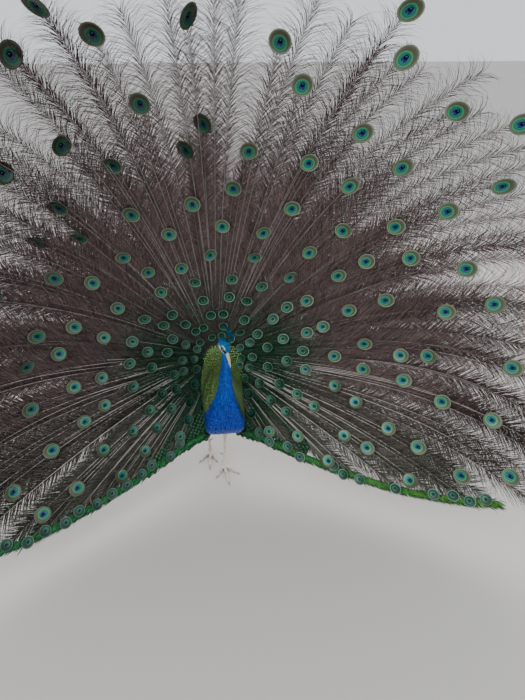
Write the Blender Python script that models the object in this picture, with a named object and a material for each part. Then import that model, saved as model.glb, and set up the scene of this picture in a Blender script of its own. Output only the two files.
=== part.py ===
"""Indian peafowl cock in full display: a still, life-size model.

The bird faces -Y and its left side is +X. The trunk is lofted along a spine that runs from the head
down the neck and back to the rump. The train is a shallow dish of feathers that leans forward from a
root on the rump, and its lower edge hangs level above the floor. The origin is the middle of the
bounding box's underside.
"""

import math

import bmesh
import bpy
import numpy as np
from mathutils import Matrix, Vector

# Clearances between neighbouring solids
GAP = 0.0005
CLEAR = 0.0011

# The train: lengths are measured along a feather from the root, angles from straight up
ROOT = Vector((0.0, 0.12, 0.47))
TRAIN_SIDE = 1.32
TRAIN_TOP_EXTRA = 0.13
TRAIN_CURVE_LENGTH = 1.4
LEAN_TOP = math.radians(24)
LEAN_LOW = math.radians(48)
CURL = math.radians(12)
# The lower edge: its lowest height, its rise over the legs, its rise at both ends and its tilt sideways
RIM_HEIGHT = 0.1155
RIM_RISE = 0.088
RIM_RISE_WIDTH = 0.28
RIM_END_START = 0.55
RIM_END_RISE = 0.56
RIM_TILT = 0.009
# Feathers nearer to straight up than this end in the air, wherever the rim is
FREE_ANGLE = math.radians(80)
# Where the solid train starts, at 0, 40, 80, 120 and 160 degrees from straight up
TRAIN_INNER = (0.022, 0.024, 0.045, 0.090, 0.185)
TRAIN_INNER_STEP = 40
TRAIN_THICK_INNER = 0.0045
TRAIN_THICK_OUTER = 0.0011
UPPER_SECTORS = 15
UPPER_HALF_ANGLE = math.radians(105)
LOWER_EDGES = tuple(math.radians(a) for a in (105, 121, 139, 158))
LOBE_DEPTH = 0.13
LOBE_STEP = 0.045
TRAIN_ROWS = (0.0, 0.30, 0.58, 0.84, 1.0)

# The tail proper: stiff feathers behind the train
TAIL_LENGTH = 0.43
TAIL_INNER = 0.05
TAIL_BEHIND = 0.016
TAIL_HALF_ANGLE = math.radians(82)
TAIL_FEATHERS = 10
TAIL_ROWS = (0.0, 0.5, 0.9, 1.0)
TAIL_SIDE_LOSS = 0.12
TAIL_NOTCH = 0.965
TAIL_THICK = 0.002

# Body stations from the head to the rump: ventral y and z, dorsal y and z, half width, sideways shift
# and how square the ventral half is (2 is an ellipse)
STATIONS = (
    (-0.214, 0.682, -0.180, 0.700, 0.0142, 0.0170, 2.0),
    (-0.211, 0.655, -0.170, 0.669, 0.0144, 0.0170, 2.0),
    (-0.210, 0.620, -0.164, 0.634, 0.0153, 0.0170, 2.0),
    (-0.213, 0.582, -0.156, 0.600, 0.0172, 0.0160, 2.0),
    (-0.219, 0.544, -0.145, 0.570, 0.0213, 0.0145, 2.1),
    (-0.228, 0.506, -0.128, 0.545, 0.0279, 0.0125, 2.6),
    (-0.238, 0.462, -0.105, 0.524, 0.0386, 0.0105, 3.2),
    (-0.244, 0.408, -0.077, 0.509, 0.0560, 0.0070, 4.5),
    (-0.240, 0.349, -0.044, 0.499, 0.0736, 0.0040, 6.0),
    (-0.205, 0.303, -0.008, 0.495, 0.0795, 0.0050, 6.0),
    (-0.150, 0.284, 0.028, 0.494, 0.0818, 0.0080, 4.0),
    (-0.082, 0.281, 0.060, 0.495, 0.0833, 0.0080, 2.6),
    (-0.006, 0.292, 0.091, 0.497, 0.0823, 0.0060, 2.3),
    (0.064, 0.322, 0.121, 0.498, 0.0763, 0.0040, 2.0),
    (0.119, 0.364, 0.149, 0.496, 0.0640, 0.0020, 2.0),
    (0.160, 0.407, 0.174, 0.490, 0.0430, 0.0000, 2.0),
    (0.186, 0.446, 0.193, 0.480, 0.0180, 0.0000, 2.0),
)
RING_SIDES = 18
# Each length of the body: its name, first and last station, and how many rings it takes
LENGTHS = (
    ("neck_upper", 0.0, 3.3, 7),
    ("neck_lower", 3.3, 6.3, 6),
    ("breast", 6.3, 9.6, 7),
    ("trunk", 9.6, 12.6, 6),
    ("rump", 12.6, 16.0, 6),
)

# Head: the face looks down and a little to the bird's left, and the crown leans to that side
HEAD_CENTRE = Vector((0.0135, -0.211, 0.694))
FACE_PITCH = math.radians(42)
FACE_TURN = math.radians(17)
FACE_ROLL = math.radians(15)
HEAD_LENGTH = 0.061
HEAD_WIDTH = 0.0210
HEAD_HEIGHT = 0.0222
# Rings along the head from -1, nape, to 1, bill: half width, half height up and half height down, as
# shares of the head's own
HEAD_RINGS = (
    (-1.00, 0.10, 0.12, 0.12),
    (-0.93, 0.48, 0.50, 0.48),
    (-0.74, 0.80, 0.80, 0.80),
    (-0.42, 0.98, 0.98, 0.98),
    (-0.05, 1.00, 1.02, 0.98),
    (0.30, 0.88, 0.88, 0.84),
    (0.62, 0.66, 0.62, 0.62),
    (0.88, 0.48, 0.42, 0.44),
    (1.00, 0.40, 0.34, 0.36),
)
HEAD_SIDES = 14
BILL_LENGTH = 0.052
# Each half of the bill: share of the length, half width, roof height and where it starts
BILL_HALVES = {
    "bill_upper": (1.0, 0.0068, 0.0078, 0.0003),
    "bill_lower": (0.90, 0.0062, -0.0057, -0.0003),
}
BILL_DROOP = 0.0065
BILL_STEPS = 8
# An eye's centre ahead, to the side and up of the head's centre
EYE_PLACE = (0.0083, 0.0136, 0.0040)
EYE_RADIUS = 0.0060
CREST_HEIGHT = 0.052
CREST_PLUMES = 9
CREST_BEHIND = 0.011
CREST_LEAN = math.radians(-34)
CREST_SPREAD = math.radians(30)
CREST_FOOT = 0.0045
CREST_THICK_FOOT = 0.0006
CREST_THICK_TIP = 0.0018

# Legs: where each foot stands, where its heel is, and the headings of its toes from straight ahead
LEGS = {
    "left": {
        "foot": Vector((0.0013, -0.053, 0.0)),
        "heel": Vector((0.012, -0.012, 0.152)),
        "hip": Vector((0.045, -0.020, 0.372)),
        "headings": (-30, 6, 47, 190),
        "spur_side": -1,
    },
    "right": {
        "foot": Vector((-0.0540, 0.053, 0.0)),
        "heel": Vector((-0.058, 0.096, 0.150)),
        "hip": Vector((-0.048, 0.030, 0.376)),
        "headings": (20, -4, -38, 168),
        "spur_side": 1,
    },
}
# Inner, middle, outer and hind toes without their claws
TOE_LENGTHS = (0.069, 0.103, 0.072, 0.030)
TOE_RADIUS = 0.0074
# How far a toe's middle line is above the floor, as a share of its radius
TOE_SINK = 0.72
TOE_TAPER = 0.35
TOE_STEPS = 6
CLAW_LENGTHS = (0.015, 0.019, 0.015, 0.013)
CLAW_RADIUS = 0.0022
CLAW_TIP = 0.0006
CLAW_STEPS = 4
PAD_RADIUS = 0.0115
PAD_DROP = 0.0075
ANKLE_HEIGHT = 0.016
SHANK_RADIUS = 0.0056
SHANK_STEPS = 7
SPUR_LENGTH = 0.022
SPUR_RISE = 0.005
# How far up the shank the spur stands
SPUR_SHARE = 0.30
# A spur's radius at shares of its length
SPUR_RADII = {0: 0.0042, 0.35: 0.0033, 0.7: 0.0021, 1: 0.0007}
# The thigh's half width from just above the heel to the hip
THIGH_WIDTHS = (0.0088, 0.0120, 0.0195, 0.0280, 0.0350, 0.0380, 0.0300)
THIGH_BEND = Vector((0, -0.012, 0))
THIGH_START = 0.03
THIGH_FLATTEN = 0.86

# Wings: folded and drooped behind the train's lower feathers
WING_WRIST = Vector((0.058, 0.085, 0.425))
WING_TIP = Vector((0.150, 0.345, 0.150))
WING_CHORD = 0.070
WING_THICK = 0.0075
WING_EDGE = 0.0012
WING_BULGE = 0.013
WING_TUCK = 0.012
WING_ROWS = 8
WING_COLUMNS = 7

COLOURS = {
    "blue_plumage": ((0.01, 0.09, 0.50, 1), 0.45),
    "scaled_plumage": ((0.12, 0.22, 0.05, 1), 0.5),
    "train_plumage": ((0.10, 0.12, 0.08, 1), 0.6),
    "wing_plumage": ((0.35, 0.22, 0.12, 1), 0.7),
    "tail_plumage": ((0.16, 0.11, 0.08, 1), 0.7),
    "thigh_plumage": ((0.30, 0.24, 0.17, 1), 0.8),
    "horn": ((0.55, 0.50, 0.42, 1), 0.4),
    "leg_scales": ((0.62, 0.53, 0.40, 1), 0.55),
    "eye": ((0.03, 0.015, 0.01, 1), 0.1),
}


def clear_scene():
    for obj in list(bpy.data.objects):
        bpy.data.objects.remove(obj)


def collection(name):
    made = bpy.data.collections.new(name)
    bpy.context.scene.collection.children.link(made)
    return made


def material(name):
    """The material of that name, made from its colour and roughness the first time."""
    found = bpy.data.materials.get(name)
    if found:
        return found
    colour, roughness = COLOURS[name]
    made = bpy.data.materials.new(name)
    made.use_nodes = True
    shader = made.node_tree.nodes["Principled BSDF"]
    shader.inputs["Base Color"].default_value = colour
    shader.inputs["Roughness"].default_value = roughness
    return made


def new_object(name, bm, finish, home):
    """An object from a bmesh, with its faces turned outwards and shaded smooth."""
    bmesh.ops.recalc_face_normals(bm, faces=bm.faces)
    mesh = bpy.data.meshes.new(name)
    bm.to_mesh(mesh)
    bm.free()
    mesh.shade_smooth()
    mesh.set_sharp_from_angle(angle=math.radians(50))
    obj = bpy.data.objects.new(name, mesh)
    home.objects.link(obj)
    obj.data.materials.append(material(finish))
    return obj


def cut(obj, cutter):
    """Takes the cutter out of obj with a Boolean."""
    boolean = obj.modifiers.new("cut_" + cutter.name, "BOOLEAN")
    boolean.operation = "DIFFERENCE"
    boolean.solver = "EXACT"
    boolean.object = cutter


def join(obj, other):
    boolean = obj.modifiers.new("join_" + other.name, "BOOLEAN")
    boolean.operation = "UNION"
    boolean.solver = "EXACT"
    boolean.object = other


def as_cutter(obj):
    obj.hide_render = True
    obj.display_type = "WIRE"
    return obj


def loft(name, rings, finish, home):
    """A closed solid through rings of equally many points, with a flat cap at each end."""
    bm = bmesh.new()
    loops = [[bm.verts.new(p) for p in ring] for ring in rings]
    for a, b in zip(loops, loops[1:]):
        for i in range(len(a)):
            j = (i + 1) % len(a)
            bm.faces.new((a[i], a[j], b[j], b[i]))
    bm.faces.new(loops[0])
    bm.faces.new(loops[-1])
    return new_object(name, bm, finish, home)


def slab(name, front, back, finish, home):
    """A closed sheet between two grids of points of the same shape, joined round their edges."""
    rows, columns = front.shape[:2]
    bm = bmesh.new()
    a = [[bm.verts.new(front[i, j]) for j in range(columns)] for i in range(rows)]
    b = [[bm.verts.new(back[i, j]) for j in range(columns)] for i in range(rows)]
    for i in range(rows - 1):
        for j in range(columns - 1):
            bm.faces.new((a[i][j], a[i][j + 1], a[i + 1][j + 1], a[i + 1][j]))
            bm.faces.new((b[i][j], b[i + 1][j], b[i + 1][j + 1], b[i][j + 1]))
    for i in range(rows - 1):
        for j in (0, columns - 1):
            bm.faces.new((a[i][j], a[i + 1][j], b[i + 1][j], b[i][j]))
    for j in range(columns - 1):
        for i in (0, rows - 1):
            bm.faces.new((a[i][j], a[i][j + 1], b[i][j + 1], b[i][j]))
    return new_object(name, bm, finish, home)


def smooth_table(rows, at):
    """Catmull-Rom interpolation of a table's rows at fractional row numbers."""
    table = np.array(rows, float)
    at = np.clip(np.asarray(at, float), 0, len(table) - 1)
    i = np.minimum(at.astype(int), len(table) - 2)
    t = (at - i)[:, None]
    p0, p1 = table[np.maximum(i - 1, 0)], table[i]
    p2, p3 = table[i + 1], table[np.minimum(i + 2, len(table) - 1)]
    return 0.5 * (
        2 * p1
        + (p2 - p0) * t
        + (2 * p0 - 5 * p1 + 4 * p2 - p3) * t**2
        + (3 * p1 - p0 - 3 * p2 + p3) * t**3
    )


def body_rings(first, last, count, grow=0.0, shrink_ends=0.0):
    """Rings of the body between two stations, each in the plane through its ventral and dorsal points."""
    at = np.linspace(first, last, count)
    ahead = smooth_table(STATIONS, at + 0.02)
    behind = smooth_table(STATIONS, at - 0.02)
    rings = []
    for k, row in enumerate(smooth_table(STATIONS, at)):
        low, high = Vector((0, row[0], row[1])), Vector((0, row[2], row[3]))
        along = (ahead[k] - behind[k]).reshape(-1)
        along = Vector((0, along[0] + along[2], along[1] + along[3])).normalized()
        centre = (low + high) / 2 + Vector((row[5], 0, 0))
        if k == 0:
            centre += along * shrink_ends
        if k == count - 1:
            centre -= along * shrink_ends
        dorsal = (high - low).normalized()
        tall = (high - low).length / 2 + grow
        ring = []
        for n in range(RING_SIDES):
            turn = 2 * math.pi * (n + 0.5) / RING_SIDES
            c, s = math.cos(turn), math.sin(turn)
            power = row[6] if s < 0 else 2
            reach = (abs(c) ** power + abs(s) ** power) ** (-1 / power)
            ring.append(centre + Vector(((row[4] + grow) * c * reach, 0, 0)) + dorsal * (tall * s * reach))
        rings.append(ring)
    return rings


def make_body(home, cutters):
    """The neck, breast, trunk and rump, and one slightly larger cutter in their shape."""
    finishes = {"trunk": "scaled_plumage", "rump": "scaled_plumage"}
    made = {}
    for name, first, last, count in LENGTHS:
        rings = body_rings(first, last, count, shrink_ends=GAP / 2)
        made[name] = loft(name, rings, finishes.get(name, "blue_plumage"), home)
    whole = loft("clear_body", body_rings(2.0, 16.0, 34, CLEAR, -CLEAR), "blue_plumage", cutters)
    return made, as_cutter(whole)


def face_axes():
    """Unit vectors of the head: forwards along the bill, to the bird's left, and up."""
    forward = Vector(
        (
            math.sin(FACE_TURN) * math.cos(FACE_PITCH),
            -math.cos(FACE_TURN) * math.cos(FACE_PITCH),
            -math.sin(FACE_PITCH),
        )
    )
    left = Vector((math.cos(FACE_TURN), math.sin(FACE_TURN), 0.0))
    up = left.cross(forward) * -1
    c, s = math.cos(FACE_ROLL), math.sin(FACE_ROLL)
    return forward, left * c - up * s, up * c + left * s


def head_rings(grow=0.0):
    """Rings along the head from the nape to the bill's root: narrow, round crown, tapering face."""
    forward, left, up = face_axes()
    rings = []
    for t, wide, above, below in HEAD_RINGS:
        centre = HEAD_CENTRE + forward * (t * (HEAD_LENGTH / 2 + grow))
        ring = []
        for n in range(HEAD_SIDES):
            turn = 2 * math.pi * (n + 0.5) / HEAD_SIDES
            tall = above if math.sin(turn) > 0 else below
            ring.append(
                centre
                + left * ((HEAD_WIDTH * wide + grow) * math.cos(turn))
                + up * ((HEAD_HEIGHT * tall + grow) * math.sin(turn))
            )
        rings.append(ring)
    return rings


def eye_centre(side):
    forward, left, up = face_axes()
    ahead, aside, high = EYE_PLACE
    return HEAD_CENTRE + forward * ahead + left * (side * aside) + up * high


def ball(name, centre, radius, finish, home, segments=10, rings=7):
    bm = bmesh.new()
    bmesh.ops.create_uvsphere(bm, u_segments=segments, v_segments=rings, radius=radius)
    bmesh.ops.translate(bm, verts=bm.verts, vec=centre)
    return new_object(name, bm, finish, home)


def make_bill(home):
    """The upper and lower halves of the bill: curved half cones with a gap between them."""
    forward, left, up = face_axes()
    base = HEAD_CENTRE + forward * (HEAD_LENGTH / 2 + GAP)
    for name, (share, half_width, tall, start) in BILL_HALVES.items():
        rings = []
        for k in range(BILL_STEPS):
            t = k / (BILL_STEPS - 1)
            taper = max(1 - t, 0.0) ** 0.62 + 0.05
            droop = -BILL_DROOP * t**2.2
            centre = base + forward * (BILL_LENGTH * share * t * (1 - 0.05 * t))
            ring = []
            for n in range(BILL_STEPS):
                turn = math.pi * n / (BILL_STEPS - 1)
                ring.append(
                    centre
                    + left * (half_width * taper * math.cos(turn))
                    + up * (droop + start + tall * taper * math.sin(turn))
                )
            rings.append(ring)
        loft(name, rings, "horn", home)


def make_crest(home):
    """A fan of narrow plumes on the hind crown, joined near the skin, in the head's middle plane."""
    forward, left, up = face_axes()
    base = HEAD_CENTRE - forward * CREST_BEHIND + up * (HEAD_HEIGHT + GAP + CREST_THICK_FOOT)
    columns = CREST_PLUMES * 2 + 1
    spread = np.linspace(-1, 1, columns)
    heights = np.where(np.arange(columns) % 2 == 0, 0.80, 1.0)
    front = np.zeros((3, columns, 3))
    back = np.zeros((3, columns, 3))
    for j in range(columns):
        turn = CREST_LEAN + CREST_SPREAD * spread[j]
        ray = up * math.cos(turn) + forward * math.sin(turn)
        foot = base + forward * (CREST_FOOT * spread[j])
        for i, share in enumerate((0.0, 0.6, 1.0)):
            high = CREST_HEIGHT * heights[j] * share
            thick = CREST_THICK_FOOT + (CREST_THICK_TIP - CREST_THICK_FOOT) * share
            middle = foot + ray * high
            front[i, j] = middle + left * thick
            back[i, j] = middle - left * thick
    slab("crest", front, back, "blue_plumage", home)


def make_head(home, cutters, body):
    head = loft("head", head_rings(), "blue_plumage", home)
    clear = as_cutter(loft("clear_head", head_rings(CLEAR), "blue_plumage", cutters))
    cut(body["neck_upper"], clear)
    for side, name in ((1, "left"), (-1, "right")):
        centre = eye_centre(side)
        socket = ball("socket_" + name, centre, EYE_RADIUS + GAP, "eye", cutters)
        cut(head, as_cutter(socket))
        ball("eye_" + name, centre, EYE_RADIUS, "eye", home)
    make_bill(home)
    make_crest(home)


def tube_rings(points, radii, sides=8, flatten=1.0, first=None, last=None):
    """Rings along a line of points, square to it or to the given end directions, a radius for each."""
    rings = []
    for k, point in enumerate(points):
        before, after = points[max(k - 1, 0)], points[min(k + 1, len(points) - 1)]
        along = (after - before).normalized()
        if k == 0 and first:
            along = first
        if k == len(points) - 1 and last:
            along = last
        across = along.cross(Vector((0, 0, 1)))
        if across.length < 0.2:
            across = along.cross(Vector((0, 1, 0)))
        across.normalize()
        upward = across.cross(along).normalized()
        ring = []
        for n in range(sides):
            turn = 2 * math.pi * (n + 0.5) / sides
            ring.append(
                point
                + across * (radii[k] * flatten * math.cos(turn))
                + upward * (radii[k] * math.sin(turn))
            )
        rings.append(ring)
    return rings


def heading_vector(degrees):
    """A level unit vector turned from straight ahead, -Y, towards the bird's left, +X."""
    turn = math.radians(degrees)
    return Vector((math.sin(turn), -math.cos(turn), 0.0))


def make_foot(side, leg, home, cutters):
    """Four toes with knuckles grown into one pad, flat where they touch the floor, and their claws."""
    ankle = leg["foot"] + Vector((0, 0, ANKLE_HEIGHT))
    floor = bmesh.new()
    bmesh.ops.create_cube(floor, size=0.4)
    bmesh.ops.translate(floor, verts=floor.verts, vec=leg["foot"] + Vector((0, 0, -0.2)))
    floor_cutter = as_cutter(new_object("floor_" + side, floor, "leg_scales", cutters))
    foot = ball("foot_" + side, ankle - Vector((0, 0, PAD_DROP)), PAD_RADIUS, "leg_scales", home, 10, 6)
    for n, (heading, length) in enumerate(zip(leg["headings"], TOE_LENGTHS)):
        ahead = heading_vector(heading)
        points, radii = [], []
        for k in range(TOE_STEPS):
            t = k / (TOE_STEPS - 1)
            high = TOE_RADIUS * TOE_SINK * (1 - TOE_TAPER * t) + ANKLE_HEIGHT / 2 * (1 - t) ** 3
            high += 0.0016 * math.sin(math.pi * t)
            knuckle = 1 + 0.12 * math.cos(2 * math.pi * t * 2.5)
            points.append(leg["foot"] + ahead * (length * t) + Vector((0, 0, high)))
            radii.append(TOE_RADIUS * (1 - TOE_TAPER * t) * knuckle)
        toe = loft(f"toe_{side}_{n}", tube_rings(points, radii, 6, last=ahead), "leg_scales", cutters)
        join(foot, as_cutter(toe))
        make_claw(f"claw_{side}_{n + 1}", points[-1], ahead, CLAW_LENGTHS[n], home)
    cut(foot, floor_cutter)
    return foot


def make_claw(name, start, ahead, length, home):
    """A curved claw that starts a gap beyond the toe's end and comes down to the floor."""
    points, radii = [], []
    bulge = 0.0010
    for k in range(CLAW_STEPS):
        t = k / (CLAW_STEPS - 1)
        rise = bulge * math.sin(math.pi * min(t * 1.6, 1))
        drop = (start.z - bulge) * t**1.8
        points.append(start + ahead * (GAP + length * t) + Vector((0, 0, rise - drop)))
        radii.append(CLAW_RADIUS * (1 - t) ** 0.8 + CLAW_TIP)
    loft(name, tube_rings(points, radii, 5, first=ahead), "horn", home)


def make_shank(side, leg, home, cutters, foot):
    """The bare scaled leg from the foot to the heel, thicker at both ends, with its spur."""
    low = leg["foot"] + Vector((0, 0, ANKLE_HEIGHT + 0.002))
    high = leg["heel"]
    points, radii = [], []
    for k in range(SHANK_STEPS):
        t = k / (SHANK_STEPS - 1)
        swell = 1 + 0.45 * (1 - t) ** 6 + 0.75 * t**9
        points.append(low.lerp(high, t))
        radii.append(SHANK_RADIUS * swell)
    shank = loft("shank_" + side, tube_rings(points, radii, 10), "leg_scales", home)
    grown = [r + CLEAR for r in radii]
    clear = loft("clear_shank_" + side, tube_rings(points, grown, 10), "leg_scales", cutters)
    cut(foot, as_cutter(clear))
    spur_at = low.lerp(high, SPUR_SHARE)
    inward = Vector((leg["spur_side"], 0.55, -0.12)).normalized()
    start = spur_at + inward * (SHANK_RADIUS * 0.55)
    tips = [start + inward * (SPUR_LENGTH * t) + Vector((0, 0, SPUR_RISE * t * t)) for t in SPUR_RADII]
    spur = loft("spur_" + side, tube_rings(tips, list(SPUR_RADII.values()), 8), "horn", home)
    cut(spur, as_cutter(clear))
    return shank, clear


def thigh_rings(leg, grow=0.0):
    """The feathered thigh: broad and flattened at the hip, narrow just above the heel."""
    points = []
    for k in range(len(THIGH_WIDTHS)):
        t = k / (len(THIGH_WIDTHS) - 1)
        on_line = leg["heel"].lerp(leg["hip"], THIGH_START + (1 - THIGH_START) * t)
        points.append(on_line + THIGH_BEND * math.sin(math.pi * t))
    return tube_rings(points, [w + grow for w in THIGH_WIDTHS], 12, THIGH_FLATTEN)


def make_leg(side, leg, home, cutters, body_cutter):
    foot = make_foot(side, leg, home, cutters)
    shank, shank_cutter = make_shank(side, leg, home, cutters, foot)
    thigh = loft("thigh_" + side, thigh_rings(leg), "thigh_plumage", home)
    cut(thigh, body_cutter)
    cut(thigh, shank_cutter)
    return as_cutter(loft("clear_thigh_" + side, thigh_rings(leg, CLEAR), "thigh_plumage", cutters))


def wing_slab(name, side, grow, home):
    """A drooped, folded wing: a leaf-shaped sheet, broad at the coverts, that narrows to the primaries."""
    rows, columns = WING_ROWS, WING_COLUMNS
    front = np.zeros((rows, columns, 3))
    back = np.zeros((rows, columns, 3))
    axis = WING_TIP - WING_WRIST
    upward = Vector((0, -axis.z, axis.y)).normalized()
    for i in range(rows):
        u = i / (rows - 1)
        leaf = math.sin(math.pi * min(u * 1.30 + 0.13, 1) ** 0.80)
        half = max(WING_CHORD * (leaf * 0.86 + 0.10 * (1 - u)), 0.012 * (1.25 - u)) + grow
        thick = WING_THICK * (1 - u) ** 0.7 + WING_EDGE + grow
        for j in range(columns):
            w = -1 + 2 * j / (columns - 1)
            bulge = (WING_BULGE * (1 - w * w) - WING_TUCK * max(w, 0) ** 2) * (1 - u)
            reach = (-grow if i == 0 else grow) if i in (0, rows - 1) else 0.0
            middle = WING_WRIST + axis * u + upward * (half * w) + axis.normalized() * reach
            middle.x += bulge
            edge = 1 - 0.55 * w * w
            front[i, j] = (side * (middle.x + thick * edge), middle.y, middle.z)
            back[i, j] = (side * (middle.x - thick * edge), middle.y, middle.z)
    return slab(name, front, back, "wing_plumage", home)


def make_wings(home, cutters, body_cutter, thigh_cutters):
    clear = []
    for side, name in ((1, "left"), (-1, "right")):
        wing = wing_slab("wing_" + name, side, 0.0, home)
        cut(wing, body_cutter)
        cut(wing, thigh_cutters[name])
        clear.append(as_cutter(wing_slab("clear_wing_" + name, side, CLEAR, cutters)))
    return clear


def dish_point(angle, length):
    """The point at a length along the train feather that leaves the root at an angle from straight up.

    The feather leans forward by an angle that grows evenly along it, so its path is a circular arc."""
    lean = LEAN_TOP + (LEAN_LOW - LEAN_TOP) * (1 - math.cos(angle)) / 2 - CURL
    bend = 2 * CURL / TRAIN_CURVE_LENGTH
    outward = (math.sin(lean + bend * length) - math.sin(lean)) / bend
    forward = (math.cos(lean) - math.cos(lean + bend * length)) / bend
    return ROOT + Vector((math.sin(angle) * outward, -forward, math.cos(angle) * outward))


def dish_normal(angle, length):
    """Unit normal of the dish, towards its hollow front."""
    step = 0.004
    around = dish_point(angle + step, length) - dish_point(angle - step, length)
    along = dish_point(angle, length + step) - dish_point(angle, length - step)
    normal = around.cross(along).normalized()
    return -normal if normal.y > 0 else normal


def rim_height(x):
    """How high the train's lower edge hangs, at a distance from the middle plane."""
    middle = RIM_RISE * math.exp(-((x / RIM_RISE_WIDTH) ** 2))
    ends = RIM_END_RISE * max(abs(x) - RIM_END_START, 0.0) ** 2
    return RIM_HEIGHT + middle + ends + RIM_TILT * x


def above_rim(angle, length):
    point = dish_point(angle, length)
    return point.z >= rim_height(point.x)


def train_reach(angle):
    """How long the train is at an angle: its full length, or less where a feather meets the rim height."""
    full = TRAIN_SIDE + TRAIN_TOP_EXTRA * math.cos(angle / 2) ** 2
    if abs(angle) < FREE_ANGLE or above_rim(angle, full):
        return full
    low, high = 0.05, full
    for _ in range(30):
        middle = (low + high) / 2
        if above_rim(angle, middle):
            low = middle
        else:
            high = middle
    return low


def train_inner(angle):
    """Where the solid train starts: within the rump above, and clear of the wings and thighs below."""
    at = abs(math.degrees(angle)) / TRAIN_INNER_STEP
    return float(smooth_table([(v,) for v in TRAIN_INNER], [at])[0, 0])


def train_thickness(share):
    return TRAIN_THICK_INNER + (TRAIN_THICK_OUTER - TRAIN_THICK_INNER) * min(share * 1.6, 1.0)


def make_sector(name, low, high, lobes, home):
    """One sector of the train between two angles, its outer edge in lobes like feather tips."""
    columns = lobes * 4 + 1
    front = np.zeros((len(TRAIN_ROWS), columns, 3))
    back = np.zeros((len(TRAIN_ROWS), columns, 3))
    for j in range(columns):
        share = j / (columns - 1)
        angle = low + (high - low) * share
        phase = abs(2 * ((share * lobes) % 1) - 1)
        short = LOBE_STEP if int(share * lobes * 0.999) % 2 else 0.0
        reach = train_reach(angle)
        notch = LOBE_DEPTH * min(reach / TRAIN_SIDE, 1) ** 2 * phase**2.5
        reach -= max(notch, short * (1 - phase**2) * min(reach / TRAIN_SIDE, 1) ** 2)
        inner = train_inner(angle)
        for i, t in enumerate(TRAIN_ROWS):
            length = inner + (reach - inner) * t
            side_gap = (1 if j == 0 else -1) * GAP / 2 / length if j in (0, columns - 1) else 0.0
            middle = dish_point(angle + side_gap, length)
            normal = dish_normal(angle, length)
            half = train_thickness(t) / 2
            front[i, j] = middle + normal * half
            back[i, j] = middle - normal * half
    return slab(name, front, back, "train_plumage", home)


def make_train(home, cutters_to_clear):
    edges = np.linspace(-UPPER_HALF_ANGLE, UPPER_HALF_ANGLE, UPPER_SECTORS + 1)
    sectors = [(a, b, 2) for a, b in zip(edges, edges[1:])]
    for a, b in zip(LOWER_EDGES, LOWER_EDGES[1:]):
        sectors += [(a, b, 2), (-b, -a, 2)]
    for n, (low, high, lobes) in enumerate(sorted(sectors)):
        sector = make_sector(f"train_{n + 1:02d}", low, high, lobes, home)
        for cutter in cutters_to_clear:
            cut(sector, cutter)


def make_tail(home, body_cutter):
    """The tail proper: a half circle of stiff feathers a little behind the train."""
    columns = TAIL_FEATHERS * 2 + 1
    front = np.zeros((len(TAIL_ROWS), columns, 3))
    back = np.zeros((len(TAIL_ROWS), columns, 3))
    for j in range(columns):
        angle = TAIL_HALF_ANGLE * (-1 + 2 * j / (columns - 1))
        length = TAIL_LENGTH * (1 - TAIL_SIDE_LOSS * abs(math.sin(angle)))
        if j % 2 == 0:
            length *= TAIL_NOTCH
        for i, t in enumerate(TAIL_ROWS):
            along = TAIL_INNER + (length - TAIL_INNER) * t
            normal = dish_normal(angle, along)
            middle = dish_point(angle, along) - normal * TAIL_BEHIND
            front[i, j] = middle + normal * (TAIL_THICK / 2)
            back[i, j] = middle - normal * (TAIL_THICK / 2)
    tail = slab("tail", front, back, "tail_plumage", home)
    cut(tail, body_cutter)


def set_origin(home):
    """Moves every piece and cutter so that the origin is the middle of the bounding box's underside."""
    bpy.context.view_layer.update()
    graph = bpy.context.evaluated_depsgraph_get()
    low, high = Vector((9, 9, 9)), Vector((-9, -9, -9))
    for obj in home.objects:
        for corner in obj.evaluated_get(graph).bound_box:
            low = Vector(map(min, low, corner))
            high = Vector(map(max, high, corner))
    shift = Vector((-(low.x + high.x) / 2, -(low.y + high.y) / 2, -low.z))
    for obj in bpy.data.objects:
        obj.data.transform(Matrix.Translation(shift))


def main():
    clear_scene()
    home = collection("peacock")
    cutters = collection("cutters")
    body, body_cutter = make_body(home, cutters)
    make_head(home, cutters, body)
    thigh_cutters = {
        side: make_leg(side, leg, home, cutters, body_cutter) for side, leg in LEGS.items()
    }
    wing_cutters = make_wings(home, cutters, body_cutter, thigh_cutters)
    make_train(home, [body_cutter, *wing_cutters, *thigh_cutters.values()])
    make_tail(home, body_cutter)
    set_origin(home)


main()
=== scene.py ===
"""A peacock in full display: one skin under feathers of solid mesh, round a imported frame."""

import math

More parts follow.
